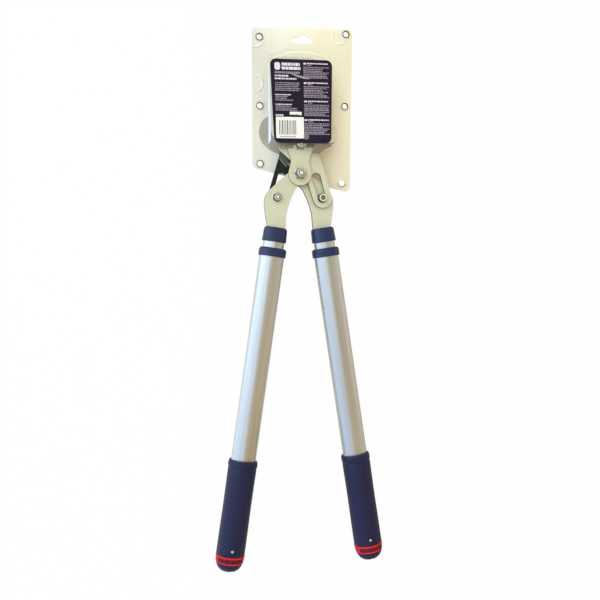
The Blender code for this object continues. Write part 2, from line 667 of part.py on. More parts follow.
def upper_collar(side, frame, finish, steel):
    """Moulded adapter: the arm's tang goes in from above, its spigot fills the inner tube."""
    name = SIDE_NAMES[side]
    spigot = tube_section(INNER_WIDTH - 2 * INNER_WALL - 2 * GAP, INNER_THICKNESS - 2 * INNER_WALL - 2 * GAP)
    stations = [
        (COLLAR_TOP, section(COLLAR_WIDTH - 5.4, COLLAR_THICKNESS - 5.0)),
        (COLLAR_TOP + 0.8, section(COLLAR_WIDTH - 3.0, COLLAR_THICKNESS - 2.6)),
        (COLLAR_TOP + 2.6, section(COLLAR_WIDTH - 1.4, COLLAR_THICKNESS - 1.2)),
        (COLLAR_BOTTOM - 1.0, section(COLLAR_WIDTH, COLLAR_THICKNESS)),
        (COLLAR_BOTTOM, section(COLLAR_WIDTH - 0.8, COLLAR_THICKNESS - 0.8)),
        (COLLAR_BOTTOM, spigot),
        (COLLAR_BOTTOM + PLUG_DEPTH, spigot),
    ]
    piece = to_object(name + "_arm_collar", loft(handle_rings(side, stations)), finish, frame)
    layer = LAYER_OF_SIDE[side]
    half = TANG_WIDTH / 2 + GAP
    slot = handle_box(side, (-half, half), (COLLAR_TOP - 2.0, TANG_END + GAP),
                      (layer[0] - GAP, layer[1] + GAP))
    combine(piece, slot)
    centre = (side * HANDLE_OFFSET, -TANG_PIN_AT)
    combine(piece, prism(circle(TANG_PIN_RADIUS + GAP, centre), -20.0, 20.0))
    reach = INNER_THICKNESS / 2 - INNER_WALL - 2 * GAP
    pin = prism(circle(TANG_PIN_RADIUS, centre, 16), -reach, reach)
    to_object(name + "_tang_pin", pin, steel, frame)


def inner_tube(side, frame, finish, plug_finish):
    name = SIDE_NAMES[side]
    outer = tube_section(INNER_WIDTH, INNER_THICKNESS)
    bore = tube_section(INNER_WIDTH - 2 * INNER_WALL, INNER_THICKNESS - 2 * INNER_WALL)
    start = COLLAR_BOTTOM + GAP
    stations = [(start, outer), (INNER_END, outer), (INNER_END, bore), (start, bore)]
    to_object(name + "_inner_tube", loft(handle_rings(side, stations), closed=True), finish, frame)
    glide = tube_section(TUBE_WIDTH - 2 * TUBE_WALL - 2 * GAP, TUBE_THICKNESS - 2 * TUBE_WALL - 2 * GAP)
    spigot = tube_section(INNER_WIDTH - 2 * INNER_WALL - 2 * GAP, INNER_THICKNESS - 2 * INNER_WALL - 2 * GAP)
    seat = INNER_END + GAP
    stations = [(INNER_END - PLUG_DEPTH, spigot), (seat, spigot), (seat, glide), (seat + 4.0, glide)]
    to_object(name + "_inner_glide", loft(handle_rings(side, stations)), plug_finish, frame)


def outer_tube(side, frame, finish):
    name = SIDE_NAMES[side]
    outer = tube_section(TUBE_WIDTH, TUBE_THICKNESS)
    bore = tube_section(TUBE_WIDTH - 2 * TUBE_WALL, TUBE_THICKNESS - 2 * TUBE_WALL)
    stations = [(TUBE_START + GAP, outer), (TUBE_END, outer), (TUBE_END, bore), (TUBE_START + GAP, bore)]
    piece = to_object(name + "_outer_tube", loft(handle_rings(side, stations), closed=True), finish, frame)
    half = TOOTH_WIDTH / 2 + GAP
    window = handle_box(side, (-half, half), (TUBE_START - 2.0, LEVER_FRONT + TOOTH_LENGTH + 1.4),
                        (-TUBE_THICKNESS, -TUBE_THICKNESS / 2 + TUBE_WALL + 1.0))
    combine(piece, window)
    centre = (side * HANDLE_OFFSET, -GRIP_SCREW_AT)
    combine(piece, prism(circle(GRIP_SCREW_RADIUS + GAP, centre), 0.0, 30.0))


def lower_collar(side, frame, finish):
    """Ring on the outer tube's mouth, with the housing of the lock lever on its far side."""
    name = SIDE_NAMES[side]
    slide = tube_section(INNER_WIDTH + 2 * SLIDE_CLEARANCE, INNER_THICKNESS + 2 * SLIDE_CLEARANCE)
    skirt = tube_section(TUBE_WIDTH + 2 * GAP, TUBE_THICKNESS + 2 * GAP)
    stations = [
        (RING_TOP, slide),
        (RING_TOP, section(RING_WIDTH - 4.6, RING_THICKNESS - 4.2)),
        (RING_TOP + 0.8, section(RING_WIDTH - 2.0, RING_THICKNESS - 1.8)),
        (RING_TOP + 2.6, section(RING_WIDTH, RING_THICKNESS)),
        (RING_BOTTOM - 0.8, section(RING_WIDTH, RING_THICKNESS)),
        (RING_BOTTOM, section(RING_WIDTH - 1.0, RING_THICKNESS - 1.0)),
        (RING_BOTTOM, skirt),
        (TUBE_START, skirt),
        (TUBE_START, slide),
    ]
    piece = to_object(name + "_tube_collar", loft(handle_rings(side, stations), closed=True), finish, frame)
    half = HOUSING_WIDTH / 2
    face = -TUBE_THICKNESS / 2 - GAP
    housing = handle_box(side, (-half, half), (RING_BOTTOM - 4.0, HOUSING_END), (-LEVER_DEPTH, face))
    combine(piece, housing, "UNION")
    pocket = LEVER_WIDTH / 2 + POCKET_CLEARANCE
    combine(piece, handle_box(side, (-pocket, pocket),
                              (LEVER_FRONT - POCKET_CLEARANCE, LEVER_BACK + POCKET_CLEARANCE),
                              (-LEVER_DEPTH - 3.0, -TUBE_THICKNESS / 2 + 1.0)))
    combine(piece, cross_pin(side, LEVER_PIN_RADIUS + GAP, half + 1.0))


def cross_pin(side, radius, half, steps=16):
    """A round bar across the handle at the lever's pivot."""
    rings = []
    for x in (-half, half):
        ring = circle(radius, (LEVER_PIVOT_AT, -LEVER_PIVOT_DEPTH), steps)
        rings.append([(side * (HANDLE_OFFSET + x), -along, z) for along, z in ring])
    return loft(rings)


def lock_lever(side, frame, finish):
    """Rocker that holds the inner tube: press its lower end and its tooth lifts."""
    half = LEVER_WIDTH / 2
    inner_face = -LEVER_DEPTH + LEVER_THICKNESS
    piece = to_object(SIDE_NAMES[side] + "_lock_lever",
                      handle_box(side, (-half, half), (LEVER_FRONT, LEVER_BACK), (-LEVER_DEPTH, inner_face)),
                      finish, frame)
    tooth = handle_box(side, (-TOOTH_WIDTH / 2, TOOTH_WIDTH / 2), (LEVER_FRONT, LEVER_FRONT + TOOTH_LENGTH),
                       (inner_face - 1.0, -INNER_THICKNESS / 2 - GAP))
    combine(piece, tooth, "UNION")
    notch = SPRING_RADIUS + SPRING_WIRE + POCKET_CLEARANCE + GAP
    combine(piece, handle_box(side, (half - SPRING_NOTCH, half + 1.0), (LEVER_PIVOT_AT - notch, LEVER_PIVOT_AT + notch),
                              (-LEVER_DEPTH - 1.0, inner_face + 1.0)))
    combine(piece, cross_pin(side, LEVER_PIN_RADIUS + GAP, half + 1.0))


def lever_pin_and_spring(side, frame, steel):
    name = SIDE_NAMES[side]
    to_object(name + "_lever_pin", cross_pin(side, LEVER_PIN_RADIUS, HOUSING_WIDTH / 2), steel, frame)
    start = LEVER_WIDTH / 2 - SPRING_NOTCH + SPRING_WIRE
    rings = []
    steps = 12 * SPRING_TURNS
    for step in range(steps + 1):
        angle = 2 * math.pi * SPRING_TURNS * step / steps
        x = start + SPRING_PITCH * SPRING_TURNS * step / steps
        ring = []
        for corner in range(4):
            round_angle = math.radians(90 * corner)
            radius = SPRING_RADIUS + SPRING_WIRE / 2 * math.cos(round_angle)
            along = LEVER_PIVOT_AT + radius * math.cos(angle)
            depth = -LEVER_PIVOT_DEPTH + radius * math.sin(angle)
            across = x + SPRING_WIRE / 2 * math.sin(round_angle)
            ring.append((side * (HANDLE_OFFSET + across), -along, depth))
        rings.append(ring)
    to_object(name + "_lever_spring", loft(rings), steel, frame)


def end_scale(along):
    """How much the grip's outline has shrunk at this place of its rounded end."""
    if along <= CAP_ROUND_START:
        return 1.0
    share = (along - CAP_ROUND_START) / (CAP_END - CAP_ROUND_START)
    return max(1.0 - share ** CAP_FULLNESS, 0.0) ** (1 / CAP_FULLNESS)


def grip_section(along, proud=0.0):
    scale = end_scale(along)
    return section((GRIP_WIDTH + 2 * proud) * scale, (GRIP_THICKNESS + 2 * min(proud, 0.0)) * scale, 0.0, 2.2)


def grip(side, frame, finish, band_finish, steel):
    """Soft sleeve with a rim, a coloured band and a domed end cap, held by one screw."""
    name = SIDE_NAMES[side]
    bore = tube_section(TUBE_WIDTH + 2 * GAP, TUBE_THICKNESS + 2 * GAP)
    rim_end = GRIP_START + GRIP_RIM_LENGTH
    grip_end = BAND_START - GAP
    stations = [
        (GRIP_START, bore),
        (GRIP_START, grip_section(GRIP_START, -1.4)),
        (GRIP_START + 0.6, grip_section(GRIP_START, -0.5)),
        (GRIP_START + 1.8, grip_section(GRIP_START, GRIP_RIM)),
        (rim_end - 0.8, grip_section(rim_end, GRIP_RIM)),
        (rim_end, grip_section(rim_end, -0.2)),
        (rim_end + 1.2, grip_section(rim_end)),
        (grip_end, grip_section(grip_end)),
        (grip_end, bore),
    ]
    sleeve = to_object(name + "_grip", loft(handle_rings(side, stations), closed=True), finish, frame)
    stations = [(BAND_START, bore)]
    stations += [(along, grip_section(along, BAND_PROUD))
                 for along in (BAND_START, CAP_ROUND_START, CAP_ROUND_START + 4.0, BAND_END)]
    stations += [(BAND_END, bore)]
    to_object(name + "_grip_band", loft(handle_rings(side, stations), closed=True), band_finish, frame)
    spigot = tube_section(TUBE_WIDTH - 2 * TUBE_WALL - 2 * GAP, TUBE_THICKNESS - 2 * TUBE_WALL - 2 * GAP)
    dome_start = BAND_END + GAP
    steps = 5
    stations = [(TUBE_END - PLUG_DEPTH, spigot), (dome_start, spigot)]
    for step in range(steps + 1):
        rise = math.asin((dome_start - CAP_ROUND_START) / (CAP_END - CAP_ROUND_START))
        angle = rise + (math.radians(86.0) - rise) * step / steps
        along = CAP_ROUND_START + (CAP_END - CAP_ROUND_START) * math.sin(angle)
        stations.append((along, grip_section(along)))
    cap = to_object(name + "_end_cap", loft(handle_rings(side, stations)), finish, frame)
    centre = (side * HANDLE_OFFSET, -GRIP_SCREW_AT)
    top = GRIP_THICKNESS / 2
    seat = top - GRIP_SCREW_SINK
    for piece in (sleeve, cap):
        combine(piece, prism(circle(GRIP_SCREW_RADIUS + GAP, centre), 0.0, 30.0))
    combine(sleeve, prism(circle(GRIP_SCREW_HEAD + GAP, centre), seat - GAP, 30.0))
    screw = turned([(GRIP_SCREW_RADIUS, top - GRIP_SCREW_REACH), (GRIP_SCREW_RADIUS, seat),
                    (GRIP_SCREW_HEAD, seat), (GRIP_SCREW_HEAD, seat + GRIP_SCREW_SINK / 2),
                    (GRIP_SCREW_RADIUS, top)], centre, 16)
    to_object(name + "_grip_screw", screw, steel, frame)


def handle(side, materials):
    """One arm with its telescopic handle. Its frame sits on the handle pivot."""
    name = SIDE_NAMES[side]
    pivot = empty(name + "_pivot", (0.0, 0.0, MID))
    axis = empty(name + "_axis", (0.0, 0.0, MID), side * HANDLE_TILT)
    arm(side, pivot, materials["satin"])
    slot_bolt(side, pivot, materials["zinc"], materials["bush"])
    upper_collar(side, axis, materials["navy"], materials["zinc"])
    inner_tube(side, axis, materials["aluminium"], materials["black"])
    outer_tube(side, axis, materials["aluminium"])
    lower_collar(side, axis, materials["navy"])
    lock_lever(side, axis, materials["red"])
    lever_pin_and_spring(side, axis, materials["zinc"])
    grip(side, axis, materials["navy"], materials["red"], materials["zinc"])


# Pack

def sheet_outline():
    corners = [(SHEET_LEFT, SHEET_LOW_LEFT), (SHEET_RIGHT, SHEET_LOW_RIGHT),
               (SHEET_RIGHT + SHEET_LEAN, SHEET_TOP_RIGHT), (SHEET_LEFT, SHEET_TOP_LEFT)]
    return rounded(corners, SHEET_CORNER)


def right_side_at(height):
    """Where the sheet's leaning right side is, at a height."""
    return SHEET_RIGHT + SHEET_LEAN * (height - SHEET_LOW_RIGHT) / (SHEET_TOP_RIGHT - SHEET_LOW_RIGHT)


def eyelet_places():
    left = SHEET_LEFT + EYELET_INSET_LEFT
    left_heights = (SHEET_TOP_LEFT - EYELET_DROP_LEFT, EYELET_MIDDLE_LEFT, SHEET_LOW_LEFT + EYELET_RISE)
    right_heights = (SHEET_TOP_RIGHT - EYELET_DROP_RIGHT, EYELET_MIDDLE_RIGHT)
    return ([(left, height) for height in left_heights]
            + [(right_side_at(height) - EYELET_INSET_RIGHT, height) for height in right_heights])


def pierce_sheet(piece):
    """Eyelet holes, the bare hole and the hang hole, through either sheet."""
    for place in eyelet_places():
        drill(piece, place, EYELET_HOLE + EYELET_WALL + GAP, -5.0, 5.0)
    bare = (SHEET_RIGHT - BARE_HOLE_INSET, SHEET_LOW_RIGHT + BARE_HOLE_RISE)
    drill(piece, bare, BARE_HOLE_RADIUS, -5.0, 5.0)
    x = (SHEET_LEFT + SHEET_RIGHT + SHEET_LEAN) / 2
    y = (SHEET_TOP_LEFT + SHEET_TOP_RIGHT) / 2 - HANG_HOLE_DROP
    wing = HANG_HOLE_WIDTH / 2
    half = HANG_HOLE_HEIGHT / 2
    corners = [(x - wing, y), (x - wing * 0.72, y - half), (x + wing * 0.72, y - half),
               (x + wing, y), (x + wing * 0.5, y + half), (x - wing * 0.5, y + half)]
    combine(piece, prism(rounded(corners, 1.2, steps=3), -5.0, 5.0))
    drill(piece, (x, y + half * 0.75), HANG_HOLE_CROWN, -5.0, 5.0)


def bubble_corners(mouth, inset=0.0):
    """The bubble's plan: straight sides and a shallow arch at its top end."""
    half = BUBBLE_HALF_WIDTH - inset
    top = BUBBLE_TOP - inset
    return [(-half, mouth), (half, mouth), (half, top), (half * CROWN_SHARE, top + BUBBLE_CROWN),
            (-half * CROWN_SHARE, top + BUBBLE_CROWN), (-half, top)]


def domed(rings_at, low, height, edge):
    """A raised form whose shoulder is rounded: rings_at gives the plan for an inset."""
    rings = [[(x, y, low) for x, y in rings_at(0.0)]]
    for step in range(4):
        angle = math.radians(90.0 * step / 3)
        inset = edge * (1 - math.cos(angle))
        z = height - edge * (1 - math.sin(angle))
        rings.append([(x, y, z) for x, y in rings_at(inset)])
    return loft(rings)


def bubble_forms(wall, mouth, low):
    """The bubble and its low side lobes: their outside (wall 0), or the hollow a wall inside."""

    def main_plan(inset):
        return rounded(bubble_corners(mouth, wall), BUBBLE_CORNER - wall, inset, 3)

    def lobe_plan(inset):
        half_width = LOBE_HALF_WIDTH - wall - inset
        half_length = LOBE_HALF_LENGTH - wall - inset
        turns = [2 * math.pi * step / LOBE_STEPS for step in range(LOBE_STEPS)]
        return [(half_width * math.cos(turn), LOBE_CENTRE + half_length * math.sin(turn)) for turn in turns]

    main_form = domed(main_plan, low, BUBBLE_HEIGHT - wall, BUBBLE_EDGE - wall)
    lobe_form = domed(lobe_plan, low, LOBE_HEIGHT - wall, LOBE_EDGE - wall)
    return main_form, lobe_form


def blister_cover(frame, finish):
    """Clear front sheet, raised into a bubble over the jaws and open at its lower end."""
    low = BACK_SHEET_THICKNESS + GAP
    flat = low + COVER_WALL
    cover = to_object("blister_cover", prism(sheet_outline(), low, flat), finish, frame)
    for form in bubble_forms(0.0, BUBBLE_MOUTH - BUBBLE_CORNER, low):
        combine(cover, form, "UNION")
    beyond = BUBBLE_HALF_WIDTH + LOBE_HALF_WIDTH
    trim = [(-beyond, SHEET_LOW_RIGHT - 9.0), (beyond, SHEET_LOW_RIGHT - 9.0),
            (beyond, BUBBLE_MOUTH), (-beyond, BUBBLE_MOUTH)]
    combine(cover, prism(trim, flat, BUBBLE_HEIGHT + 5.0))
    for form in bubble_forms(COVER_WALL, BUBBLE_MOUTH - MOUTH_APRON, low - 3.0):
        combine(cover, form)
    pierce_sheet(cover)


def card_outline():
    corners = [(-CARD_HALF_WIDTH + CARD_TAPER, CARD_LOW), (CARD_HALF_WIDTH - CARD_TAPER, CARD_LOW),
               (CARD_HALF_WIDTH, CARD_HIGH), (-CARD_HALF_WIDTH, CARD_HIGH)]
    return askew(rounded(corners, CARD_CORNER))


def askew(outline):
    """Turn an outline a little about the card's middle, and shift it."""
    turn = Matrix.Rotation(math.radians(CARD_TURN), 2)
    middle = Vector((0.0, (CARD_LOW + CARD_HIGH) / 2))
    place = middle + Vector((CARD_SHIFT, 0.0))
    return [tuple(place + turn @ (Vector(point) - middle)) for point in outline]


def box_outline(box, corner):
    low_x, low_y, high_x, high_y = box
    return rounded([(low_x, low_y), (high_x, low_y), (high_x, high_y), (low_x, high_y)], corner, steps=2)


def eyelet(number, place, frame, finish):
    """Crimped metal ring that holds the two sheets together."""
    top = BACK_SHEET_THICKNESS + GAP + COVER_WALL + GAP
    profile = ((EYELET_HOLE, 0.1), (EYELET_HOLE + EYELET_WALL, 0.1), (EYELET_HOLE + EYELET_WALL, top),
               (EYELET_RADIUS, top), (EYELET_RADIUS - 0.3, top + EYELET_WALL), (EYELET_HOLE, top + EYELET_WALL))
    rings = [[(x, y, z) for x, y in circle(radius, place, 16)] for radius, z in profile]
    to_object("eyelet_%d" % number, loft(rings, closed=True), finish, frame)


def pack(materials):
    """Sheet, bubble and label of the hanging pack, which slides off over the jaws."""
    frame = empty("pack", (0.0, 0.0, 0.0))
    back = to_object("back_sheet", prism(sheet_outline(), 0.0, BACK_SHEET_THICKNESS), materials["card"], frame)
    pierce_sheet(back)
    blister_cover(frame, materials["clear"])
    sticker_top = BUBBLE_HEIGHT - COVER_WALL - GAP
    card_top = sticker_top - STICKER_THICKNESS - GAP
    to_object("label_card", prism(card_outline(), card_top - CARD_THICKNESS, card_top), materials["label"], frame)
    for name, box in (("label_panel", PANEL_BOX), ("label_sticker", STICKER_BOX)):
        outline = askew(box_outline(box, STICKER_CORNER))
        to_object(name, prism(outline, sticker_top - STICKER_THICKNESS, sticker_top), materials["white"], frame)
    for number, place in enumerate(eyelet_places(), 1):
        eyelet(number, place, frame, materials["zinc"])


def main():
    clear_scene()
    materials = {
        "satin": material("satin_steel", (0.63, 0.60, 0.47), 0.42, 0.6),
        "blade": material("coated_blade", (0.03, 0.03, 0.02), 0.45, 0.3),
        "zinc": material("zinc_steel", (0.72, 0.68, 0.58), 0.3, 1.0),
        "bush": material("bronze_bush", (0.55, 0.42, 0.22), 0.4, 1.0),
        "aluminium": material("anodised_aluminium", (0.78, 0.79, 0.82), 0.35, 0.9),
        "navy": material("navy_plastic", (0.03, 0.04, 0.13), 0.55),
        "red": material("red_plastic", (0.72, 0.03, 0.03), 0.5),
        "black": material("black_nylon", (0.03, 0.03, 0.03), 0.6),
        "anvil": material("soft_anvil", (0.6, 0.58, 0.52), 0.5, 0.8),
        "card": material("pack_sheet", (0.80, 0.76, 0.66), 0.5),
        "clear": material("clear_cover", (0.85, 0.84, 0.80), 0.2),
        "label": material("label_card", (0.02, 0.02, 0.08), 0.5),
        "white": material("label_white", (0.85, 0.85, 0.82), 0.6),
    }
    head = link_plates(materials["satin"])
    main_bolt("handle_pivot", (0.0, 0.0), head, materials["zinc"], materials["bush"])
    main_bolt("jaw_pivot", (0.0, PIVOT_SPACING), head, materials["zinc"], materials["bush"])
    jaw_frame = empty("anvil_pivot", (0.0, PIVOT_SPACING, MID))
    anvil_jaw(jaw_frame, materials["satin"], materials["anvil"], materials["zinc"])
    blade_frame = empty("blade_pivot", (0.0, PIVOT_SPACING, MID))
    blade(blade_frame, materials["blade"])
    for side in (-1, 1):
        handle(side, materials)
    pack(materials)


main()
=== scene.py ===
"""Render scene of the telescopic anvil lopper in its hanging pack.

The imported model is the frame. Fine pieces are added on it, and every surface gets a
procedural material. Lengths below are in millimetres unless their name says otherwise.
"""
import math
import random

import bmesh
import bpy
from mathutils import Matrix, Vector


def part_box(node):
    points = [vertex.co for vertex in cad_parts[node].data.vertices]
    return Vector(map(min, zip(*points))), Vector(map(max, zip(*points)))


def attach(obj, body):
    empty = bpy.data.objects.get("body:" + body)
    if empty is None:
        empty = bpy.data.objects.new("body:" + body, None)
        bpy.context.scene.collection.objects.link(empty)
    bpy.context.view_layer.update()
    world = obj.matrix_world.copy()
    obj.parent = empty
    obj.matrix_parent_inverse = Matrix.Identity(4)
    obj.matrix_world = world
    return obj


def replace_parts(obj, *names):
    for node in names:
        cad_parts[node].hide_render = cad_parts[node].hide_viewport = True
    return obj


MM = 0.001
MID = 17.0                    # height of the tool's mid-plane
SIDES = ((-1, "left"), (1, "right"))

# The part's own sizes, repeated from its source
HANDLE_TILT = 8.4             # degrees
HANDLE_OFFSET = 19.8
PIVOT_SPACING = 36.5
PIN = (29.0, -30.0)
PLATE_OUTER = 8.45
ARM_FACE = 5.45
BUBBLE_HEIGHT = 38.3
BUBBLE_HALF_WIDTH = 42.3
BUBBLE_EDGE = 6.0
CARD_TOP = 36.7
CARD_LOW = 36.0
CARD_HIGH = 138.0
CARD_TURN = 1.1               # degrees
CARD_SHIFT = 0.8
STICKER_TOP = 37.2
COVER_FLAT_TOP = 2.1
COVER_WALL = 0.8
TUBE_WIDTH = 31.6
TUBE_THICKNESS = 24.0
TUBE_WALL = 1.6
TUBE_HIDDEN_START = 104.6     # the tube's mouth, inside the lower collar
TUBE_END = 500.9
GRIP_START = 370.0
GRIP_RIM_END = 379.5
GRIP_WIDTH = 36.6
GRIP_THICKNESS = 34.0
GRIP_SCREW_AT = 483.0
BAND_START = 491.0
BAND_END = 501.2
CAP_ROUND_START = 492.0
CAP_END = 514.0
CAP_FULLNESS = 2.6
BOLT_RADIUS = 4.0
NUT_FLATS = 13.0
NUT_SEAT = PLATE_OUTER + 0.3
NUT_HEIGHT = 8.0
SLOT_BOLT_RADIUS = 3.0
SLOT_NUT_FLATS = 10.0
SLOT_NUT_HEIGHT = 6.0
SLOT_HEAD_RADIUS = 5.0
SLOT_HEAD_LOW = ARM_FACE + 1.5
SLOT_HEAD_HEIGHT = 5.6
BOLT_OVER_NUT = 1.0           # how far a bolt stands out of its nut
SLOT_BOLT_TIP = ARM_FACE + SLOT_NUT_HEIGHT + BOLT_OVER_NUT

# Edges: sharper ones are bevelled or split, or aren't smoothed; in degrees
CREASE_ANGLE = 40.0
METAL_ANGLE = 26.0

# Fasteners
NUT_HEX_SHARE = 0.62          # share of a lock nut's height that is hexagonal
FLANGE_RADIUS = 6.9
SOCKET_FLATS = 5.0
SOCKET_REACH = 3.0            # how far the socket's corners reach from its middle
KNURL_DEPTH = 0.16
HEAD_STEPS = 96

# Pack
FILM_TOP = 37.35              # marks under the bubble's top film
PRINT_RISE = (0.02, 0.07)     # foot and face of the print, above its paper
BAR_GAP = 1.12
BARE_HOLE = (60.2, -7.6)
EYELET_PETALS = 7
EYELET_TURN = 9.0             # degrees from one eyelet to the next

# Where the sheet's painted light and shade and the floor's tones begin and end, in metres
SHEET_WIDTH = (-0.057, 0.073)
SHEET_LENGTH = (-0.03, 0.192)
FLOOR_BLEND = (-0.14, 0.10)

# Room
FLOOR_REACH = 4.0             # metres
FLOOR_DROP = 0.0006           # metres below the tool's rest face
FLOOR_WHITE = 0.98            # share of plain white in what the camera sees of the floor
WINDOW_EDGE = (-0.32, 0.18)   # directions between which the low room turns into the window

# Handles
TUBE_POWER = 2.6              # 2 is an ellipse; more is squarer
TUBE_CREASE = 0.3             # share of the ridge in the tubes' section
CREST_SOFTNESS = 0.22         # share of the half width over which the crest is rounded
TUBE_STEPS = 240
TUBE_GROOVE = 0.09            # depth of the drawn lines
GROOVE_PLACES = (0.30, 0.38, 0.66, 0.74)    # shares of the half width
GROOVE_REACH = 0.018
GRIP_POWER = 2.2
GRIP_FOOT = BAND_START - 0.3
RIM_INSET = 1.1               # from a band's edge to the middle of its raised rim
RIM_STEPS = 64
MARKS_ACROSS = (-14.6, 13.6)  # where a band's marks begin and end

# How far the grip stands out, at distances from its start, its rim's end and its foot
GRIP_SHAPE = (
    (GRIP_START, ((0.0, -2.2), (0.3, -1.3), (1.0, -0.5), (2.2, 0.2), (4.0, 0.45))),
    (GRIP_RIM_END, ((-2.6, 0.45), (-1.2, 0.15), (-0.5, -0.55), (0.2, -0.75), (1.0, -0.35), (2.4, -0.05),
                    (22.0, -0.25), (50.0, -0.35))),
    (GRIP_FOOT, ((-30.0, -0.1), (-6.0, 0.0), (-0.8, -0.05), (0.0, -0.4))),
)

# Camera: seen from the right of straight above, about 0.83 m from the tool
CAMERA_YAW = 10.79
CAMERA_PITCH = 2.7
CAMERA_ROLL = 0.24
CAMERA_AIM = (0.8, -159.9)
CAMERA_DISTANCE = 834.9
CAMERA_LENS_MM = 39.0
SENSOR_MM = 36.0


def mesh_object(name, bm, material, body, smooth=True, angle=35.0):
    """Turn a bmesh in millimetres, placed in the part's frame, into a piece on a body."""
    bmesh.ops.recalc_face_normals(bm, faces=bm.faces)
    bmesh.ops.scale(bm, vec=(MM, MM, MM), verts=bm.verts)
    mesh = bpy.data.meshes.new(name)
    bm.to_mesh(mesh)
    bm.free()
    mesh.materials.append(material)
    if smooth:
        mesh.shade_smooth()
        mesh.set_sharp_from_angle(angle=math.radians(angle))
    piece = bpy.data.objects.new(name, mesh)
    bpy.context.scene.collection.objects.link(piece)
    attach(piece, body)
    return piece


def loft(rings, closed=False):
    """A new mesh with one skin in it."""
    bm = bmesh.new()
    add_loft(bm, rings, closed)
    return bm


def add_loft(bm, rings, closed=False):
    """Skin a row of rings into the mesh, and close both ends or the loop."""
    rows = [[bm.verts.new(point) for point in row] for row in rings]
    pairs = list(zip(rows, rows[1:]))
    if closed:
        pairs.append((rows[-1], rows[0]))
    for low, high in pairs:
        for index in range(len(low)):
            following = (index + 1) % len(low)
            bm.faces.new((low[index], low[following], high[following], high[index]))
    if not closed:
        bm.faces.new(list(reversed(rows[0])))
        bm.faces.new(rows[-1])


def layers(points, levels):
    """A flat outline, given once for each of some heights."""
    return [[(x, y, z) for x, y in points] for z in levels]


def turns(steps):
    """Equal steps round a full turn, in radians."""
    return [2 * math.pi * step / steps for step in range(steps)]


def ring(centre, z, reach, steps=48):
    """A level ring of points; its reach is a radius, or a function of the angle."""
    points = []
    for turn in turns(steps):
        radius = reach(turn) if callable(reach) else reach
        points.append((centre[0] + radius * math.cos(turn), centre[1] + radius * math.sin(turn), z))
    return points


def handle_place(side, across, along, depth):
    """A point in a handle's own coordinates, in the part's frame."""
    tilt = math.radians(HANDLE_TILT)
    reach = HANDLE_OFFSET + across
    x = reach * math.cos(tilt) + along * math.sin(tilt)
    y = reach * math.sin(tilt) - along * math.cos(tilt)
    return (side * x, y, MID + depth)


# Materials

class Nodes:
    """Small helper that builds a node tree."""

    def __init__(self, tree):
        self.tree = tree

    def add(self, kind, **values):
        node = self.tree.nodes.new(kind)
        for key, value in values.items():
            setattr(node, key, value)
        return node

    def link(self, source, target):
        self.tree.links.new(source, target)

    def mix(self, share, first, second, kind="RGBA", **more):
        """Blend two values by a share; each of the three is a socket or a plain value."""
        node = self.add("ShaderNodeMix", data_type=kind, **more)
        sockets, result = ((0, 2, 3), 0) if kind == "FLOAT" else ((0, 6, 7), 2)
        for index, value in zip(sockets, (share, first, second)):
            if isinstance(value, bpy.types.NodeSocket):
                self.link(value, node.inputs[index])
            else:
                node.inputs[index].default_value = value
        return node.outputs[result]

    def ramp(self, value, stops):
        ramp = self.add("ShaderNodeValToRGB")
        elements = ramp.color_ramp.elements
        while len(elements) < len(stops):
            elements.new(0.5)
        for element, (position, colour) in zip(elements, stops):
            element.position = position
            element.color = (*colour, 1.0)
        self.link(value, ramp.inputs["Fac"])
        return ramp.outputs["Color"]

    def axis(self, vector, name):
        split = self.add("ShaderNodeSeparateXYZ")
        self.link(vector, split.inputs[0])
        return split.outputs[name]

    def map(self, value, **ends):
        node = self.add("ShaderNodeMapRange")
        for end, number in ends.items():
            node.inputs[end.replace("_", " ")].default_value = number
        self.link(value, node.inputs["Value"])
        return node.outputs["Result"]

    def share(self, value, low, high):
        """Where a number lies between two others, from 0 to 1."""
        return self.map(value, From_Min=low, From_Max=high)

    def span(self, value, low, high):
        """Map 0 to 1 onto a range of numbers."""
        return self.map(value, To_Min=low, To_Max=high)


class Surface(Nodes):
    """A material with its node tree."""

    def __init__(self, name):
        self.material = bpy.data.materials.new(name)
        self.material.use_nodes = True
        super().__init__(self.material.node_tree)
        self.shader = self.tree.nodes["Principled BSDF"]
        self.output = self.tree.nodes["Material Output"]

    def place(self, scale=(1.0, 1.0, 1.0), turn=0.0):
        """Object coordinates, turned about Z and then stretched."""
        coordinates = self.add("ShaderNodeTexCoord")
        turned = self.add("ShaderNodeMapping")
        turned.inputs["Rotation"].default_value = (0.0, 0.0, math.radians(turn))
        stretched = self.add("ShaderNodeMapping")
        stretched.inputs["Scale"].default_value = scale
        self.link(coordinates.outputs["Object"], turned.inputs["Vector"])
        self.link(turned.outputs["Vector"], stretched.inputs["Vector"])
        return stretched.outputs["Vector"]

    def noise(self, vector, scale, detail=4.0, roughness=0.55):
        noise = self.add("ShaderNodeTexNoise")
        noise.inputs["Scale"].default_value = scale
        noise.inputs["Detail"].default_value = detail
        noise.inputs["Roughness"].default_value = roughness
        self.link(vector, noise.inputs["Vector"])
        return noise.outputs["Fac"]

    def grain(self, fine, dark, light):
        """Two tones, blended by fine noise and by broad noise."""
        both = self.mix(0.45, fine, self.noise(self.place(), 28.0, 3.0), "FLOAT")
        return self.ramp(both, [(0.3, dark), (0.7, light)])

    def colour(self, source):
        self.link(source, self.shader.inputs["Base Color"])

    def roughness(self, source, low, high):
        self.link(self.span(source, low, high), self.shader.inputs["Roughness"])

    def bump(self, height, strength, distance=0.0003):
        node = self.add("ShaderNodeBump")
        node.inputs["Strength"].default_value = strength
        node.inputs["Distance"].default_value = distance
        self.link(height, node.inputs["Height"])
        self.link(node.outputs["Normal"], self.shader.inputs["Normal"])

    def settings(self, **values):
        for key, value in values.items():
            self.shader.inputs[key.replace("_", " ")].default_value = value


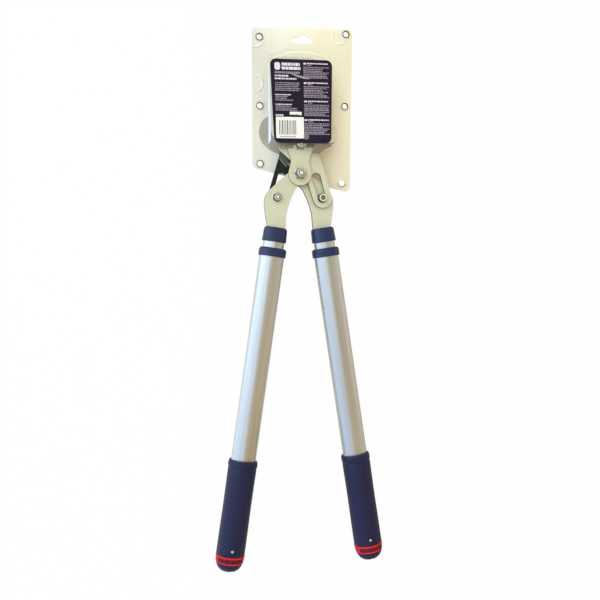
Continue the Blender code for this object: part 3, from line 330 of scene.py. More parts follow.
def grained(name, dark, light, scale, rough, bump=0.15, metallic=0.0, **more):
    """A surface whose gloss and relief vary with fine noise, and its colour with broad noise too."""
    made = Surface(name)
    fine = made.noise(made.place(), scale, 6.0)
    made.colour(made.grain(fine, dark, light))
    made.roughness(fine, *rough)
    made.settings(Metallic=metallic, **more)
    made.bump(fine, bump)
    return made.material


def plate_steel(name, face_dark, face_light, edge):
    """Satin plate: fine grain on its flat faces, and painted shade on its edges and bevels."""
    made = Surface(name)
    fine = made.noise(made.place(), 900.0, 6.0)
    shape = made.add("ShaderNodeNewGeometry")
    upright = made.add("ShaderNodeMath", operation="ABSOLUTE")
    made.link(made.axis(shape.outputs["Normal"], "Z"), upright.inputs[0])
    # Faces that turn away from straight up take the edge colour, as painted shade.
    flat = made.share(upright.outputs[0], 0.72, 0.97)
    made.colour(made.mix(flat, (*edge, 1.0), made.grain(fine, face_dark, face_light)))
    made.roughness(fine, 0.42, 0.55)
    made.settings(Metallic=0.1)
    made.bump(fine, 0.1)
    return made.material


def srgb(red, green, blue):
    """A colour as seen on screen, 0 to 255, as the shader wants it."""
    def linear(value):
        share = value / 255.0
        return share / 12.92 if share <= 0.04045 else ((share + 0.055) / 1.055) ** 2.4
    return (linear(red), linear(green), linear(blue))


def drawn_aluminium(name, turn):
    """Anodised tube: fine lines and broad soft streaks along its length."""
    made = Surface(name)
    lines = made.noise(made.place((1.0, 0.004, 1.0), turn), 2600.0, 3.0, 0.7)
    streaks = made.noise(made.place((1.0, 0.02, 1.0), turn), 240.0, 2.0)
    both = made.mix(0.5, lines, streaks, "FLOAT")
    made.colour(made.ramp(both, [(0.3, srgb(200, 200, 203)), (0.7, srgb(230, 230, 232))]))
    made.roughness(lines, 0.24, 0.36)
    made.settings(Metallic=0.94)
    made.bump(lines, 0.12, 0.0001)
    return made.material


def clear_film(name, tint, least, most):
    """Clear moulded sheet: see-through from straight ahead, a little less so at a slant."""
    made = Surface(name)
    made.settings(Roughness=0.12, IOR=1.45)
    ripple = made.noise(made.place(), 46.0, 2.0)
    made.colour(made.ramp(ripple, [(0.35, tint), (0.65, tuple(min(1.0, c * 1.04) for c in tint))]))
    facing = made.add("ShaderNodeLayerWeight")
    facing.inputs["Blend"].default_value = 0.35
    power = made.add("ShaderNodeMath", operation="POWER")
    power.inputs[1].default_value = 2.2
    made.link(facing.outputs["Facing"], power.inputs[0])
    made.link(made.span(power.outputs[0], least, most), made.shader.inputs["Alpha"])
    made.bump(ripple, 0.25, 0.0008)
    return made.material


def milky_sheet(name):
    """The pack's sheet with broad soft clouds, and painted light and shade: cooler on its left and warmer on its
    right, paler across its middle, darker towards its bottom.
    """
    made = Surface(name)
    # Painted light: a cool tint by the window on the left, a warm one on the right, paler across the middle where
    # the card shades it.
    across = made.share(made.axis(made.place(), "X"), *SHEET_WIDTH)
    colour = made.ramp(across, [(0.0, srgb(231, 225, 209)), (0.3, srgb(248, 245, 228)),
                                (0.7, srgb(249, 240, 211)), (1.0, srgb(243, 234, 206))])
    clouds = made.ramp(made.noise(made.place((1.0, 0.6, 1.0), 20.0), 18.0, 2.0),
                       [(0.35, (0.95, 0.94, 0.92)), (0.65, (1.0, 1.0, 1.0))])
    # Painted shade and light along its length: darker towards the bottom and at the bubble's top end, paler about
    # the middle.
    along = made.share(made.axis(made.place(), "Y"), *SHEET_LENGTH)
    height = made.ramp(along, [(0.0, (0.85, 0.85, 0.88)), (0.22, (0.93, 0.94, 0.96)), (0.4, (1.01, 1.01, 1.0)),
                               (0.66, (1.02, 1.01, 1.02)), (0.8, (0.90, 0.90, 0.89)), (1.0, (0.97, 0.97, 0.97))])
    for tone in (clouds, height):
        colour = made.mix(1.0, colour, tone, blend_type="MULTIPLY")
    made.colour(colour)
    fine = made.noise(made.place(), 400.0, 4.0)
    made.roughness(fine, 0.36, 0.5)
    made.bump(fine, 0.06)
    return made.material


def build_materials():
    faint = {"Specular_IOR_Level": 0.2}
    return {
        # The satin plates' last colour is painted shade for their edges.
        "satin": plate_steel("satin_steel", srgb(194, 192, 165), srgb(212, 210, 184), srgb(112, 108, 84)),
        "zinc": grained("bright_zinc", srgb(214, 209, 190), srgb(250, 246, 230), 700.0, (0.22, 0.34), 0.06, 0.3),
        # A dark copy of zinc: painted shade for the steep sides and hollows of nuts and bolts.
        "painted_shade_zinc": grained("shaded_zinc", srgb(40, 34, 22), srgb(68, 60, 42), 700.0, (0.4, 0.55), 0.06,
                             Specular_IOR_Level=0.15),
        "eyelet": grained("eyelet_metal", srgb(104, 98, 78), srgb(172, 168, 148), 420.0, (0.25, 0.4), 0.1, 1.0),
        # Painted shade for the sockets of the slot bolts.
        "recess": grained("socket_painted_shade", srgb(120, 116, 78), srgb(154, 148, 104), 900.0, (0.4, 0.55), 0.1, 0.3),
        "bush": grained("bronze", srgb(150, 116, 66), srgb(184, 150, 96), 800.0, (0.35, 0.5), 0.1, 1.0),
        "anvil": grained("soft_anvil", srgb(176, 172, 160), srgb(200, 197, 186), 600.0, (0.4, 0.6), 0.12, 0.8),
        "blade": grained("coated_blade", srgb(24, 27, 18), srgb(38, 42, 32), 800.0, (0.4, 0.55), 0.15, **faint),
        "blade_face": grained("ground_blade", srgb(66, 68, 70), srgb(92, 94, 96), 600.0, (0.4, 0.5), 0.1, **faint),
        # A pale line on the blade, a painted highlight of the ground face's step.
        "line": grained("step_painted_highlight", srgb(150, 152, 144), srgb(190, 190, 182), 600.0, (0.35, 0.5), 0.1),
        "navy": grained("navy_plastic", srgb(16, 30, 68), srgb(25, 42, 84), 1500.0, (0.26, 0.36), 0.08,
                        Specular_IOR_Level=0.55),
        "grip": grained("navy_soft", srgb(17, 20, 57), srgb(25, 28, 69), 2200.0, (0.42, 0.52), 0.25,
                        Specular_IOR_Level=0.36),
        "screw": grained("bright_screw", srgb(214, 212, 206), srgb(246, 244, 240), 900.0, (0.3, 0.4), 0.05, 0.6),
        # Painted shade round the grip screws' recesses.
        "screw_ring_painted_shade": grained("screw_ring_painted_shade", srgb(12, 13, 30), srgb(20, 20, 38), 900.0, (0.5, 0.6), 0.05, **faint),
        # Paler red for the bands' raised rims, a painted highlight.
        "rim_painted_highlight": grained("red_rim_painted_highlight", srgb(204, 66, 76), srgb(224, 92, 98), 900.0, (0.4, 0.5), 0.05, **faint),
        "band_mark": grained("navy_mark", srgb(40, 20, 44), srgb(62, 24, 48), 900.0, (0.5, 0.6), 0.05, **faint),
        "red": grained("red_plastic", srgb(176, 20, 34), srgb(204, 34, 44), 1200.0, (0.4, 0.55), 0.1, **faint),
        "black": grained("black_nylon", srgb(26, 26, 24), srgb(44, 44, 42), 900.0, (0.5, 0.7), 0.1),
        "tube_left": drawn_aluminium("left_tube_metal", HANDLE_TILT),
        "tube_right": drawn_aluminium("right_tube_metal", -HANDLE_TILT),
        "sheet": milky_sheet("pack_sheet"),
        "clear": clear_film("clear_cover", srgb(252, 250, 242), 0.0, 0.13),
        # Grey film for the bubble's fold, partly painted shade.
        "fold": grained("fold_painted_shade", srgb(190, 182, 168), srgb(208, 200, 186), 60.0, (0.3, 0.4), 0.05, Alpha=0.55),
        # Mouth films: partly the film, partly painted shadow of the card and the bubble's rim.
        "flap": grained("brown_flap", srgb(126, 108, 92), srgb(148, 130, 112), 90.0, (0.3, 0.4), 0.05, Alpha=0.72),
        "lip": grained("lip_painted_shadow", srgb(146, 138, 116), srgb(170, 162, 138), 90.0, (0.3, 0.4), 0.05, Alpha=0.34),
        # Near white for the cling loops, a painted highlight.
        "mark": grained("cling_loop_highlight", srgb(252, 250, 230), srgb(255, 254, 244), 300.0, (0.3, 0.4), 0.05, Alpha=0.9),
        "arch": grained("arch_glint", srgb(250, 247, 226), srgb(255, 253, 240), 200.0, (0.2, 0.3), 0.05, Alpha=0.4),
        "glint": grained("film_glint", srgb(212, 216, 232), srgb(236, 238, 248), 200.0, (0.2, 0.3), 0.05, Alpha=0.8),
        # Painted reflection for the slanting streak on the film.
        "crease": grained("film_reflection_streak", srgb(160, 156, 148), srgb(214, 208, 198), 160.0, (0.25, 0.4), 0.3,
                          Alpha=0.6),
        # A pale patch of painted glare on the film over the label.
        "painted_glare": grained("film_painted_glare", srgb(170, 166, 160), srgb(206, 200, 190), 300.0, (0.25, 0.4), 0.3,
                          Alpha=0.2),
        "dark_mark": grained("dark_mark", srgb(66, 56, 36), srgb(96, 84, 60), 300.0, (0.4, 0.5), 0.1),
        "label": grained("label_print", srgb(24, 16, 36), srgb(35, 24, 46), 500.0, (0.36, 0.46), 0.05, **faint),
        "print": grained("pale_print", srgb(198, 192, 206), srgb(234, 228, 238), 800.0, (0.5, 0.6), 0.03),
        "dim_print": grained("dim_print", srgb(126, 112, 132), srgb(166, 152, 168), 800.0, (0.5, 0.6), 0.03),
        "white": grained("white_paper", srgb(226, 224, 212), srgb(240, 238, 230), 900.0, (0.5, 0.6), 0.05),
        "dark_print": grained("dark_print", srgb(60, 56, 62), srgb(92, 88, 92), 900.0, (0.5, 0.6), 0.03),
    }


def finish_nodes(nodes, materials):
    """Give every carried-over CAD node its detailed material: the first key that its name holds."""
    looks = {
        "link_plate": "satin", "anvil_jaw": "satin", "_arm_collar": "navy", "_arm": "satin",
        "anvil_plate": "anvil", "blade": "blade", "bush": "bush", "roller": "bush",
        "tube_collar": "navy", "_end_cap": "grip", "_grip_band": "red", "lock_lever": "red",
        "inner_glide": "black", "back_sheet": "sheet", "blister_cover": "clear",
        "label_card": "label", "label_panel": "white", "label_sticker": "white",
        "_bolt": "zinc", "_nut": "zinc", "_washer": "eyelet", "screw": "zinc", "pin": "zinc", "spring": "zinc",
        "eyelet": "zinc", "_grip": "grip",
    }
    for name, node in nodes.items():
        if name.endswith("_tube"):
            look = "tube_left" if name.startswith("left") else "tube_right"
        else:
            look = next(value for key, value in looks.items() if key in name)
        for slot in node.material_slots:
            slot.material = materials[look]
        if not node.material_slots:
            node.data.materials.append(materials[look])


def soften(nodes):
    """Round the edges of the steel plates and the jaws, and split the clear cover's creases."""
    widths = {"link_plate": 0.7, "left_arm": 0.8, "right_arm": 0.8, "anvil_jaw": 0.8, "blade": 0.35}
    split = nodes["blister_cover"].modifiers.new("creases", "EDGE_SPLIT")
    split.split_angle = math.radians(CREASE_ANGLE)
    for name, node in nodes.items():
        width = next((value for key, value in widths.items() if name.startswith(key)), None)
        if width is None or "collar" in name:
            continue
        bevel = node.modifiers.new("edges", "BEVEL")
        bevel.width = width * MM
        bevel.segments = 2
        bevel.limit_method = "ANGLE"
        bevel.angle_limit = math.radians(CREASE_ANGLE)
        bevel.harden_normals = True


# Light and camera

def make_camera():
    """The photograph's view: nearly straight down, a little from the right."""
    yaw, pitch, roll = (math.radians(value) for value in (CAMERA_YAW, CAMERA_PITCH, CAMERA_ROLL))
    turn = Matrix.Rotation(roll, 3, "Z") @ Matrix.Rotation(pitch, 3, "X") @ Matrix.Rotation(yaw, 3, "Y")
    back = turn.transposed()
    aim = Vector((CAMERA_AIM[0], CAMERA_AIM[1], MID))
    data = bpy.data.cameras.new("camera")
    data.sensor_width = SENSOR_MM
    data.lens = CAMERA_LENS_MM
    data.clip_start = 0.01
    camera = bpy.data.objects.new("camera", data)
    place = (aim + back @ Vector((0.0, 0.0, CAMERA_DISTANCE))) * MM
    camera.matrix_world = Matrix.Translation(place) @ back.to_4x4()
    bpy.context.scene.collection.objects.link(camera)
    bpy.context.scene.camera = camera


def area_light(name, place, aim, size, power, colour):
    """A square lamp, in metres and watts, that doesn't show in reflections."""
    data = bpy.data.lights.new(name, "AREA")
    data.shape = "RECTANGLE"
    data.size = data.size_y = size
    data.energy = power
    data.color = colour
    lamp = bpy.data.objects.new(name, data)
    lamp.visible_glossy = False
    lamp.location = place
    lamp.rotation_euler = (Vector(aim) - Vector(place)).to_track_quat("-Z", "Y").to_euler()
    bpy.context.scene.collection.objects.link(lamp)


def make_world():
    """White for the camera; for reflections a bright window to the upper left and a warm room to the right."""
    world = bpy.data.worlds.new("studio")
    world.use_nodes = True
    bpy.context.scene.world = world
    made = Nodes(world.node_tree)
    direction = made.add("ShaderNodeTexCoord").outputs["Generated"]
    across = made.share(made.axis(direction, "X"), -1.0, 1.0)
    low = made.ramp(across, [(0.0, (0.58, 0.75, 0.98)), (0.24, (0.62, 0.75, 0.94)), (0.42, (0.62, 0.64, 0.62)),
                             (0.58, (0.56, 0.43, 0.22)), (0.86, (0.53, 0.40, 0.20)), (1.0, (0.60, 0.52, 0.38))])
    high = made.ramp(across, [(0.0, (1.50, 1.78, 1.94)), (0.24, (1.28, 1.54, 1.68)), (0.42, (0.76, 0.82, 0.83)),
                              (0.58, (0.56, 0.51, 0.38)), (0.86, (0.54, 0.51, 0.38)), (1.0, (0.92, 0.90, 0.84))])
    room = made.mix(made.share(made.axis(direction, "Y"), *WINDOW_EDGE), low, high)
    rays = made.add("ShaderNodeLightPath")
    made.link(made.mix(rays.outputs["Is Camera Ray"], room, (1.0, 1.0, 1.0, 1.0)),
              made.tree.nodes["Background"].inputs["Color"])


def make_floor():
    """A pale floor: plain white to the camera; to the light a normal surface, cool by the window, then warm."""
    bm = bmesh.new()
    bmesh.ops.create_grid(bm, x_segments=1, y_segments=1, size=FLOOR_REACH)
    mesh = bpy.data.meshes.new("floor")
    bm.to_mesh(mesh)
    bm.free()
    floor = bpy.data.objects.new("floor", mesh)
    floor.location = (0.0, 0.0, -FLOOR_DROP)
    bpy.context.scene.collection.objects.link(floor)
    made = Surface("floor")
    made.settings(Roughness=0.9)
    across = made.share(made.axis(made.place(), "X"), *FLOOR_BLEND)
    made.colour(made.ramp(across, [(0.0, (0.86, 0.91, 0.95)), (0.5, (0.70, 0.64, 0.53)), (1.0, (0.58, 0.50, 0.36))]))
    mix = made.add("ShaderNodeMixShader")
    share = made.add("ShaderNodeMath", operation="MULTIPLY")
    share.inputs[1].default_value = FLOOR_WHITE
    made.link(made.add("ShaderNodeLightPath").outputs["Is Camera Ray"], share.inputs[0])
    made.link(share.outputs[0], mix.inputs["Fac"])
    made.link(made.shader.outputs[0], mix.inputs[1])
    made.link(made.add("ShaderNodeEmission").outputs[0], mix.inputs[2])
    made.link(mix.outputs[0], made.output.inputs["Surface"])
    mesh.materials.append(made.material)


def make_lights():
    """A cool window to the upper left, and a wide lamp above."""
    area_light("window", place=(-0.6, 0.45, 1.3), aim=(0.0, -0.1, 0.0), size=1.2, power=6.0,
               colour=(0.95, 0.98, 1.0))
    area_light("top", place=(0.0, -0.1, 1.3), aim=(0.0, -0.15, 0.0), size=2.6, power=9.8,
               colour=(1.0, 0.99, 0.96))


# Bolts and nuts

def hexagon(flats, cut):
    """The reach of a hexagon whose corners are cut by a circle."""
    return lambda turn: min(flats / 2 / math.cos(turn % (math.pi / 3) - math.pi / 6), cut)


def knurl(radius):
    """The reach of a knurled side, with 24 teeth."""
    return lambda turn: radius - (KNURL_DEPTH if round(turn * HEAD_STEPS / math.tau) % 4 >= 2 else 0.0)


def turned_over(rings, far):
    """The rings as they are, or on the far side of the tool."""
    return [[(x, y, 2 * MID - z) for x, y, z in row] for row in rings] if far else rings


def steel_piece(name, rings, body, materials, *looks, closed=True):
    """A piece with one look for most of its faces, and more looks for some."""
    piece = mesh_object(name, loft(rings, closed), materials[looks[0]], body, angle=METAL_ANGLE)
    for look in looks[1:]:
        piece.data.materials.append(materials[look])
    return piece


def faces_from(piece, centre):
    """Each face with its middle's distance from an upright axis."""
    for face in piece.data.polygons:
        middle = face.center / MM
        yield face, math.hypot(middle.x - centre[0], middle.y - centre[1])


def lock_nut(name, node, centre, seat, flats, height, bolt_radius, body, materials, far=False,
             shade_on_shoulder=False):
    """Chamfered hexagon on a round foot, with a rolled crown round the bolt's end; its steep faces, its bore and, if
    asked, its shoulder get painted shade.
    """
    corner = flats / math.sqrt(3)
    half = flats / 2
    base = MID + seat
    flat_top = base + height * NUT_HEX_SHARE
    top = base + height
    crown = max(half * 0.88, bolt_radius + 1.1)
    groove = bolt_radius + 0.35
    taper = 0.0 if shade_on_shoulder else 0.5
    profile = ((0.99 * half, base), (corner, base + 0.1),
               (hexagon(flats, corner), base + 0.9), (hexagon(flats, corner), flat_top - 0.9),
               (hexagon(flats, half * 1.03), flat_top),
               (crown + taper, flat_top + 0.1), (crown - 0.4 * taper, top - 0.9), (crown - 0.6 * taper, top - 0.4),
               (crown - 0.2 - 0.6 * taper, top - 0.05),
               (groove + 0.3, top), (groove + 0.1, top - 0.15), (groove, top - 0.4), (groove, base))
    rings = turned_over([ring(centre, z, reach) for reach, z in profile], far)
    nut = steel_piece(name, rings, body, materials, "zinc", "painted_shade_zinc", "eyelet")
    # Painted shade: steep faces and the bore get the shaded zinc, and a shaded shoulder the darker eyelet metal.
    for face, apart in faces_from(nut, centre):
        if shade_on_shoulder and apart > crown + 0.05:
            face.material_index = 2
        elif abs(face.normal.z) < 0.6 or apart < groove + 0.1:
            face.material_index = 1
    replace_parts(nut, node)
    end = top + BOLT_OVER_NUT
    # A thin dark ring on the bolt's end, as painted shade.
    rings = [ring(centre, end + rise, bolt_radius * share)
             for share, rise in ((0.62, -0.2), (0.62, 0.04), (0.84, 0.04), (0.84, -0.2))]
    mesh_object(name + "_bolt_end_shade_ring", loft(turned_over(rings, far), closed=True), materials["painted_shade_zinc"], body)


def socket_bolt(name, node, centre, body, materials, far=False):
    """Socket head with a knurled side, a hexagonal recess and its shank."""
    low = MID + SLOT_HEAD_LOW
    top = low + SLOT_HEAD_HEIGHT
    tip = MID - SLOT_BOLT_TIP
    radius = SLOT_HEAD_RADIUS
    socket = hexagon(SOCKET_FLATS, SOCKET_REACH)
    profile = ((2.5, tip), (SLOT_BOLT_RADIUS, tip + 0.6), (SLOT_BOLT_RADIUS, low), (radius - 0.3, low),
               (knurl(radius), low + 0.4), (knurl(radius), top - 0.9), (radius - 0.25, top - 0.5),
               (radius - 0.7, top), (SOCKET_REACH + 0.25, top), (socket, top - 0.35), (socket, top - 2.8),
               (0.6, top - 3.3))
    rings = turned_over([ring(centre, z, reach, HEAD_STEPS) for reach, z in profile], far)
    bolt = steel_piece(name, rings, body, materials, "zinc", "recess", "painted_shade_zinc", closed=False)
    outward = -1 if far else 1
    # Painted shade: the socket gets the recess colour, the steep sides the shaded zinc.
    for face, apart in faces_from(bolt, centre):
        if apart < SOCKET_REACH + 0.1 and outward * (face.center.z / MM - MID) > SLOT_HEAD_LOW:
            face.material_index = 1
        elif abs(face.normal.z) < 0.5:
            face.material_index = 2
    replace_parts(bolt, node)


def nut_flange(name, centre, flats, body, materials, far):
    """The round foot that a slot nut stands on, a little wider than its corners."""
    base = MID + ARM_FACE
    inner = flats / math.sqrt(3) + 0.1
    profile = ((inner, base + 0.05), (FLANGE_RADIUS - 0.2, base + 0.05), (FLANGE_RADIUS, base + 0.25),
               (FLANGE_RADIUS, base + 0.7), (FLANGE_RADIUS - 0.3, base + 1.0), (inner, base + 1.3))
    rings = turned_over([ring(centre, z, radius) for radius, z in profile], far)
    flange = steel_piece(name, rings, body, materials, "zinc", "painted_shade_zinc")
    # Painted shade on the flange's steep sides.
    for face in flange.data.polygons:
        if abs(face.normal.z) < 0.5:
            face.material_index = 1


def fasteners(materials):
    """Nuts on both pivots; a nut and a bolt's head at each slot, on the tool's two faces."""
    for name, y in (("handle_pivot_nut", 0.0), ("jaw_pivot_nut", PIVOT_SPACING)):
        lock_nut(name + "_detail", name, (0.0, y), NUT_SEAT, NUT_FLATS, NUT_HEIGHT, BOLT_RADIUS, "head", materials)
    for side, name in SIDES:
        far = side > 0            # the right nut is on the far side, and so is the left bolt's head
        centre = (side * PIN[0], PIN[1])
        body = name + "_handle"
        lock_nut(name + "_slot_nut_detail", name + "_slot_nut", centre, ARM_FACE, SLOT_NUT_FLATS, SLOT_NUT_HEIGHT,
                 SLOT_BOLT_RADIUS, body, materials, far, shade_on_shoulder=True)
        nut_flange(name + "_slot_nut_flange", centre, SLOT_NUT_FLATS, body, materials, far)
        socket_bolt(name + "_slot_bolt_detail", name + "_slot_bolt", centre, body, materials, not far)


# Handles

def bowed(value, power):
    """A cosine or sine as an oval of this power has it."""
    return math.copysign(abs(value) ** (2 / power), value) if abs(value) > 1e-9 else 0.0


def oval(width, thickness, power=GRIP_POWER, crease=0.0, steps=96, groove=0.0):
    """A handle's section; grooves run along the tube on both sides of its crest."""
    points = []
    for angle in turns(steps):
        x = width / 2 * bowed(math.cos(angle), power)
        z = thickness / 2 * bowed(math.sin(angle), power)
        out = abs(x) / (width / 2)
        fall = math.hypot(out, CREST_SOFTNESS) / math.hypot(1.0, CREST_SOFTNESS)
        ridge = math.copysign(thickness / 2 * (1 - fall), z) if z else 0.0
        z = (1 - crease) * z + crease * ridge
        if groove and any(abs(out - place) < GROOVE_REACH for place in GROOVE_PLACES):
            z -= math.copysign(groove, z)
        points.append((x, z))
    return points


def tube_oval(more=0.0, **detail):
    """The outer tube's section, grown by a number of millimetres."""
    return oval(TUBE_WIDTH + more, TUBE_THICKNESS + more, TUBE_POWER, TUBE_CREASE, **detail)


def sleeve_piece(name, side, stations, material, angle, node):
    """A hollow piece round a handle, from its outlines along it, in place of a CAD node."""
    rings = [[handle_place(side, x, along, z) for x, z in outline] for along, outline in stations]
    body = "left_sleeve" if side < 0 else "right_sleeve"
    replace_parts(mesh_object(name, loft(rings, closed=True), material, body, angle=angle), node)


def tubes(materials):
    """Outer tubes with a crest and fine lengthwise lines, as they are drawn."""
    outer = tube_oval(steps=TUBE_STEPS, groove=TUBE_GROOVE)
    bore = tube_oval(-2 * TUBE_WALL, steps=TUBE_STEPS)
    stations = [(TUBE_HIDDEN_START, outer), (TUBE_END, outer), (TUBE_END, bore), (TUBE_HIDDEN_START, bore)]
    for side, name in SIDES:
        sleeve_piece(name + "_tube_detail", side, stations, materials["tube_" + name], 50.0,
                     name + "_outer_tube")


def grips(materials):
    """Soft sleeves with a rolled rim, a groove below it and a gentle waist."""
    bore = tube_oval(0.6)
    stations = [(GRIP_START, bore)]
    for start, shape in GRIP_SHAPE:
        stations += [(start + along, oval(GRIP_WIDTH + 2 * proud, GRIP_THICKNESS + 2 * min(proud, -0.02)))
                     for along, proud in shape]
    stations.append((GRIP_FOOT, bore))
    for side, name in SIDES:
        sleeve_piece(name + "_grip_detail", side, stations, materials["grip"], 60.0,
                     name + "_grip")


def end_scale(along):
    """Share of its full section that the handle's rounded end has here."""
    share = max(0.0, (along - CAP_ROUND_START) / (CAP_END - CAP_ROUND_START))
    return max(1.0 - share ** CAP_FULLNESS, 0.0) ** (1 / CAP_FULLNESS)


def grip_face(side, across, along, proud):
    """A point on the front of the grip's rounded end, raised a little above it."""
    scale = end_scale(along)
    share = abs(across) / (GRIP_WIDTH / 2 * scale)
    depth = GRIP_THICKNESS / 2 * scale * (1 - share ** GRIP_POWER) ** (1 / GRIP_POWER)
    return handle_place(side, across, along, depth + proud)


def band_details(materials):
    """Raised rims along both edges of each band, paler red as a painted highlight, and a row of plain dark marks
    between them.
    """
    for side, name in SIDES:
        body = name + "_sleeve"
        for number, along in enumerate((BAND_START + RIM_INSET, BAND_END - RIM_INSET), 1):
            sections = []
            for step in range(RIM_STEPS + 1):
                across = GRIP_WIDTH / 2 * end_scale(along) * 0.985 * math.sin(math.pi * (step / RIM_STEPS - 0.5))
                sections.append([grip_face(side, across, along + 0.22 * math.cos(turn), 0.14 + 0.1 * math.sin(turn))
                                 for turn in turns(8)])
            # The rims get the paler red, a painted highlight.
            mesh_object("%s_band_rim_%d" % (name, number), loft(sections), materials["rim_painted_highlight"], body)
        bm = bmesh.new()
        chance = random.Random(11 + side)
        across, last = MARKS_ACROSS
        low, high = BAND_START + 2.7, BAND_END - 2.6
        while across < last:
            wide = chance.uniform(1.3, 2.6)
            edge = [(across, low), (across + wide / 2, low), (across + wide, low),
                    (across + wide, high), (across + wide / 2, high), (across, high)]
            add_loft(bm, [[grip_face(side, x, along, proud) for x, along in edge] for proud in (0.16, 0.24)])
            across += wide + chance.uniform(0.5, 0.9)
        mesh_object(name + "_band_marks", bm, materials["band_mark"], body, smooth=False)


def grip_screws(materials):
    """Domed screws with a cross recess, each in a dark ring near the grip's end, painted shade round its recess."""
    top = GRIP_THICKNESS / 2 * end_scale(GRIP_SCREW_AT)
    ring_profile = ((1.9, 0.02), (1.9, 0.1), (2.6, 0.14), (2.8, 0.1), (2.8, 0.02))
    head_profile = ((1.3, -11.5), (1.3, -1.5), (1.75, -0.9), (1.8, -0.2), (1.6, 0.12), (1.2, 0.26), (0.85, 0.28),
                    (0.6, 0.0), (0.2, -0.3))

    def cross(radius):
        """The reach of the recess's four lobes; further out, of a plain round."""
        return lambda turn: radius * (1.0 + (0.35 * math.cos(4 * turn) if radius < 1.2 else 0.0))

    for side, name in SIDES:
        body = name + "_sleeve"
        # A raised dark ring round each screw, painted shade of its recess.
        rings = [[grip_face(side, x, GRIP_SCREW_AT + y, z) for x, y, z in ring((0.0, 0.0), proud, radius)]
                 for radius, proud in ring_profile]
        mesh_object(name + "_grip_screw_ring", loft(rings, closed=True), materials["screw_ring_painted_shade"], body)
        rings = [[handle_place(side, x, GRIP_SCREW_AT + y, z)
                  for x, y, z in ring((0.0, 0.0), top + rise, cross(radius))] for radius, rise in head_profile]
        screw = mesh_object(name + "_grip_screw_detail", loft(rings), materials["screw"], body)
        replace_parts(screw, name + "_grip_screw")


# Pack

def card_point(x, y):
    """A point given on the straight card, on the card as it sits askew."""
    turn = math.radians(CARD_TURN)
    rise = y - (CARD_LOW + CARD_HIGH) / 2
    return (CARD_SHIFT + x * math.cos(turn) - rise * math.sin(turn),
            (CARD_LOW + CARD_HIGH) / 2 + x * math.sin(turn) + rise * math.cos(turn))


def add_bar(bm, low_x, low_y, high_x, high_y, levels, cut=0.12):
    """A thin printed bar with slightly cut corners."""
    corners = [(low_x + cut, low_y), (high_x - cut, low_y), (high_x, low_y + cut), (high_x, high_y - cut),
               (high_x - cut, high_y), (low_x + cut, high_y), (low_x, high_y - cut), (low_x, low_y + cut)]
    add_loft(bm, layers([card_point(x, y) for x, y in corners], levels))


def print_levels(paper):
    """Heights of the print's foot and face on a paper's face."""
    return [paper + rise for rise in PRINT_RISE]


def label_print(materials):
    """Plain pale bars where the label has words: two columns, with headings and paragraphs."""
    chance = random.Random(7)
    levels = print_levels(CARD_TOP)
    pale = bmesh.new()
    dim = bmesh.new()

    def words(bm, left, right, top, height=1.2, longest=4.6):
        """A line of word-like dashes between two places."""
        x = left
        while x < right - 0.8:
            length = min(chance.uniform(1.2, longest), right - x)
            add_bar(bm, x, top - height, x + length, top, levels, min(0.12, height / 4))
            x += length + chance.uniform(0.45, 0.7)

    # Left column: a mark beside a heading, two lines below it, and paragraphs
    edge = -33.6
    add_bar(pale, edge, 124.6, -26.6, 133.6, levels, 1.6)
    words(pale, -24.6, -2.0, 133.4, 3.6, 5.4)
    words(pale, -24.6, -1.2, 128.6, 3.6, 5.4)
    words(dim, edge, -2.0, 122.8, 2.6, 2.6)
    words(pale, edge, -16.0, 118.4, 1.9)
    words(pale, edge, -6.0, 115.0, 1.9)
    text_edge = -33.4
    for first, ends, top, spacing in ((dim, (-2.4, -1.8, -3.4, -2.0, -2.4), 109.6, 2.25),
                                      (pale, (-14.0, -18.0, -19.4, -11.4), 95.2, 2.2),
                                      (pale, (-13.0, -14.0, -6.6, -6.2), 83.4, 2.3)):
        for index, right in enumerate(ends):
            words(dim if index else first, text_edge, right, top - spacing * index)
    words(pale, text_edge, -24.0, 70.6, 2.2, 2.2)

    # Right column: four headed paragraphs
    edge = 2.4
    for head in (134.0, 110.4, 88.0, 65.2):
        add_bar(pale, edge, head - 2.2, 6.2, head, levels, 0.8)
        words(pale, 7.2, 33.6, head, 1.4)
        words(dim, 7.2, 13.4, head - 2.3)
        for line in range(7):
            right = chance.uniform(26.0, 34.4) if line % 3 else 34.6
            words(dim, edge, right, head - 4.8 - 2.12 * line, 1.5 if line in (2, 5) else 1.15)
    for name, bm, look in (("label_bars_pale", pale, "print"), ("label_bars_dim", dim, "dim_print")):
        mesh_object(name, bm, materials[look], "pack", smooth=False)


def panel_print(materials):
    """Evenly spaced plain bars on the white panel, and short marks on the sticker."""
    levels = print_levels(STICKER_TOP)
    bm = bmesh.new()
    x = -29.6
    for width in (0.9, 0.6, 1.3, 0.6, 0.9, 1.3, 0.6, 0.9, 0.6, 1.3, 0.9):
        add_bar(bm, x, 46.0, x + width, 63.4, levels, 0.05)
        x += width + BAR_GAP
    for count, first, spacing, low, high in ((8, -28.8, 2.6, 42.8, 44.2), (5, -14.8, 2.2, 69.6, 70.9)):
        for index in range(count):
            x = first + spacing * index
            add_bar(bm, x, low, x + 1.4, high, levels)
    mesh_object("panel_bars", bm, materials["dark_print"], "pack", smooth=False)


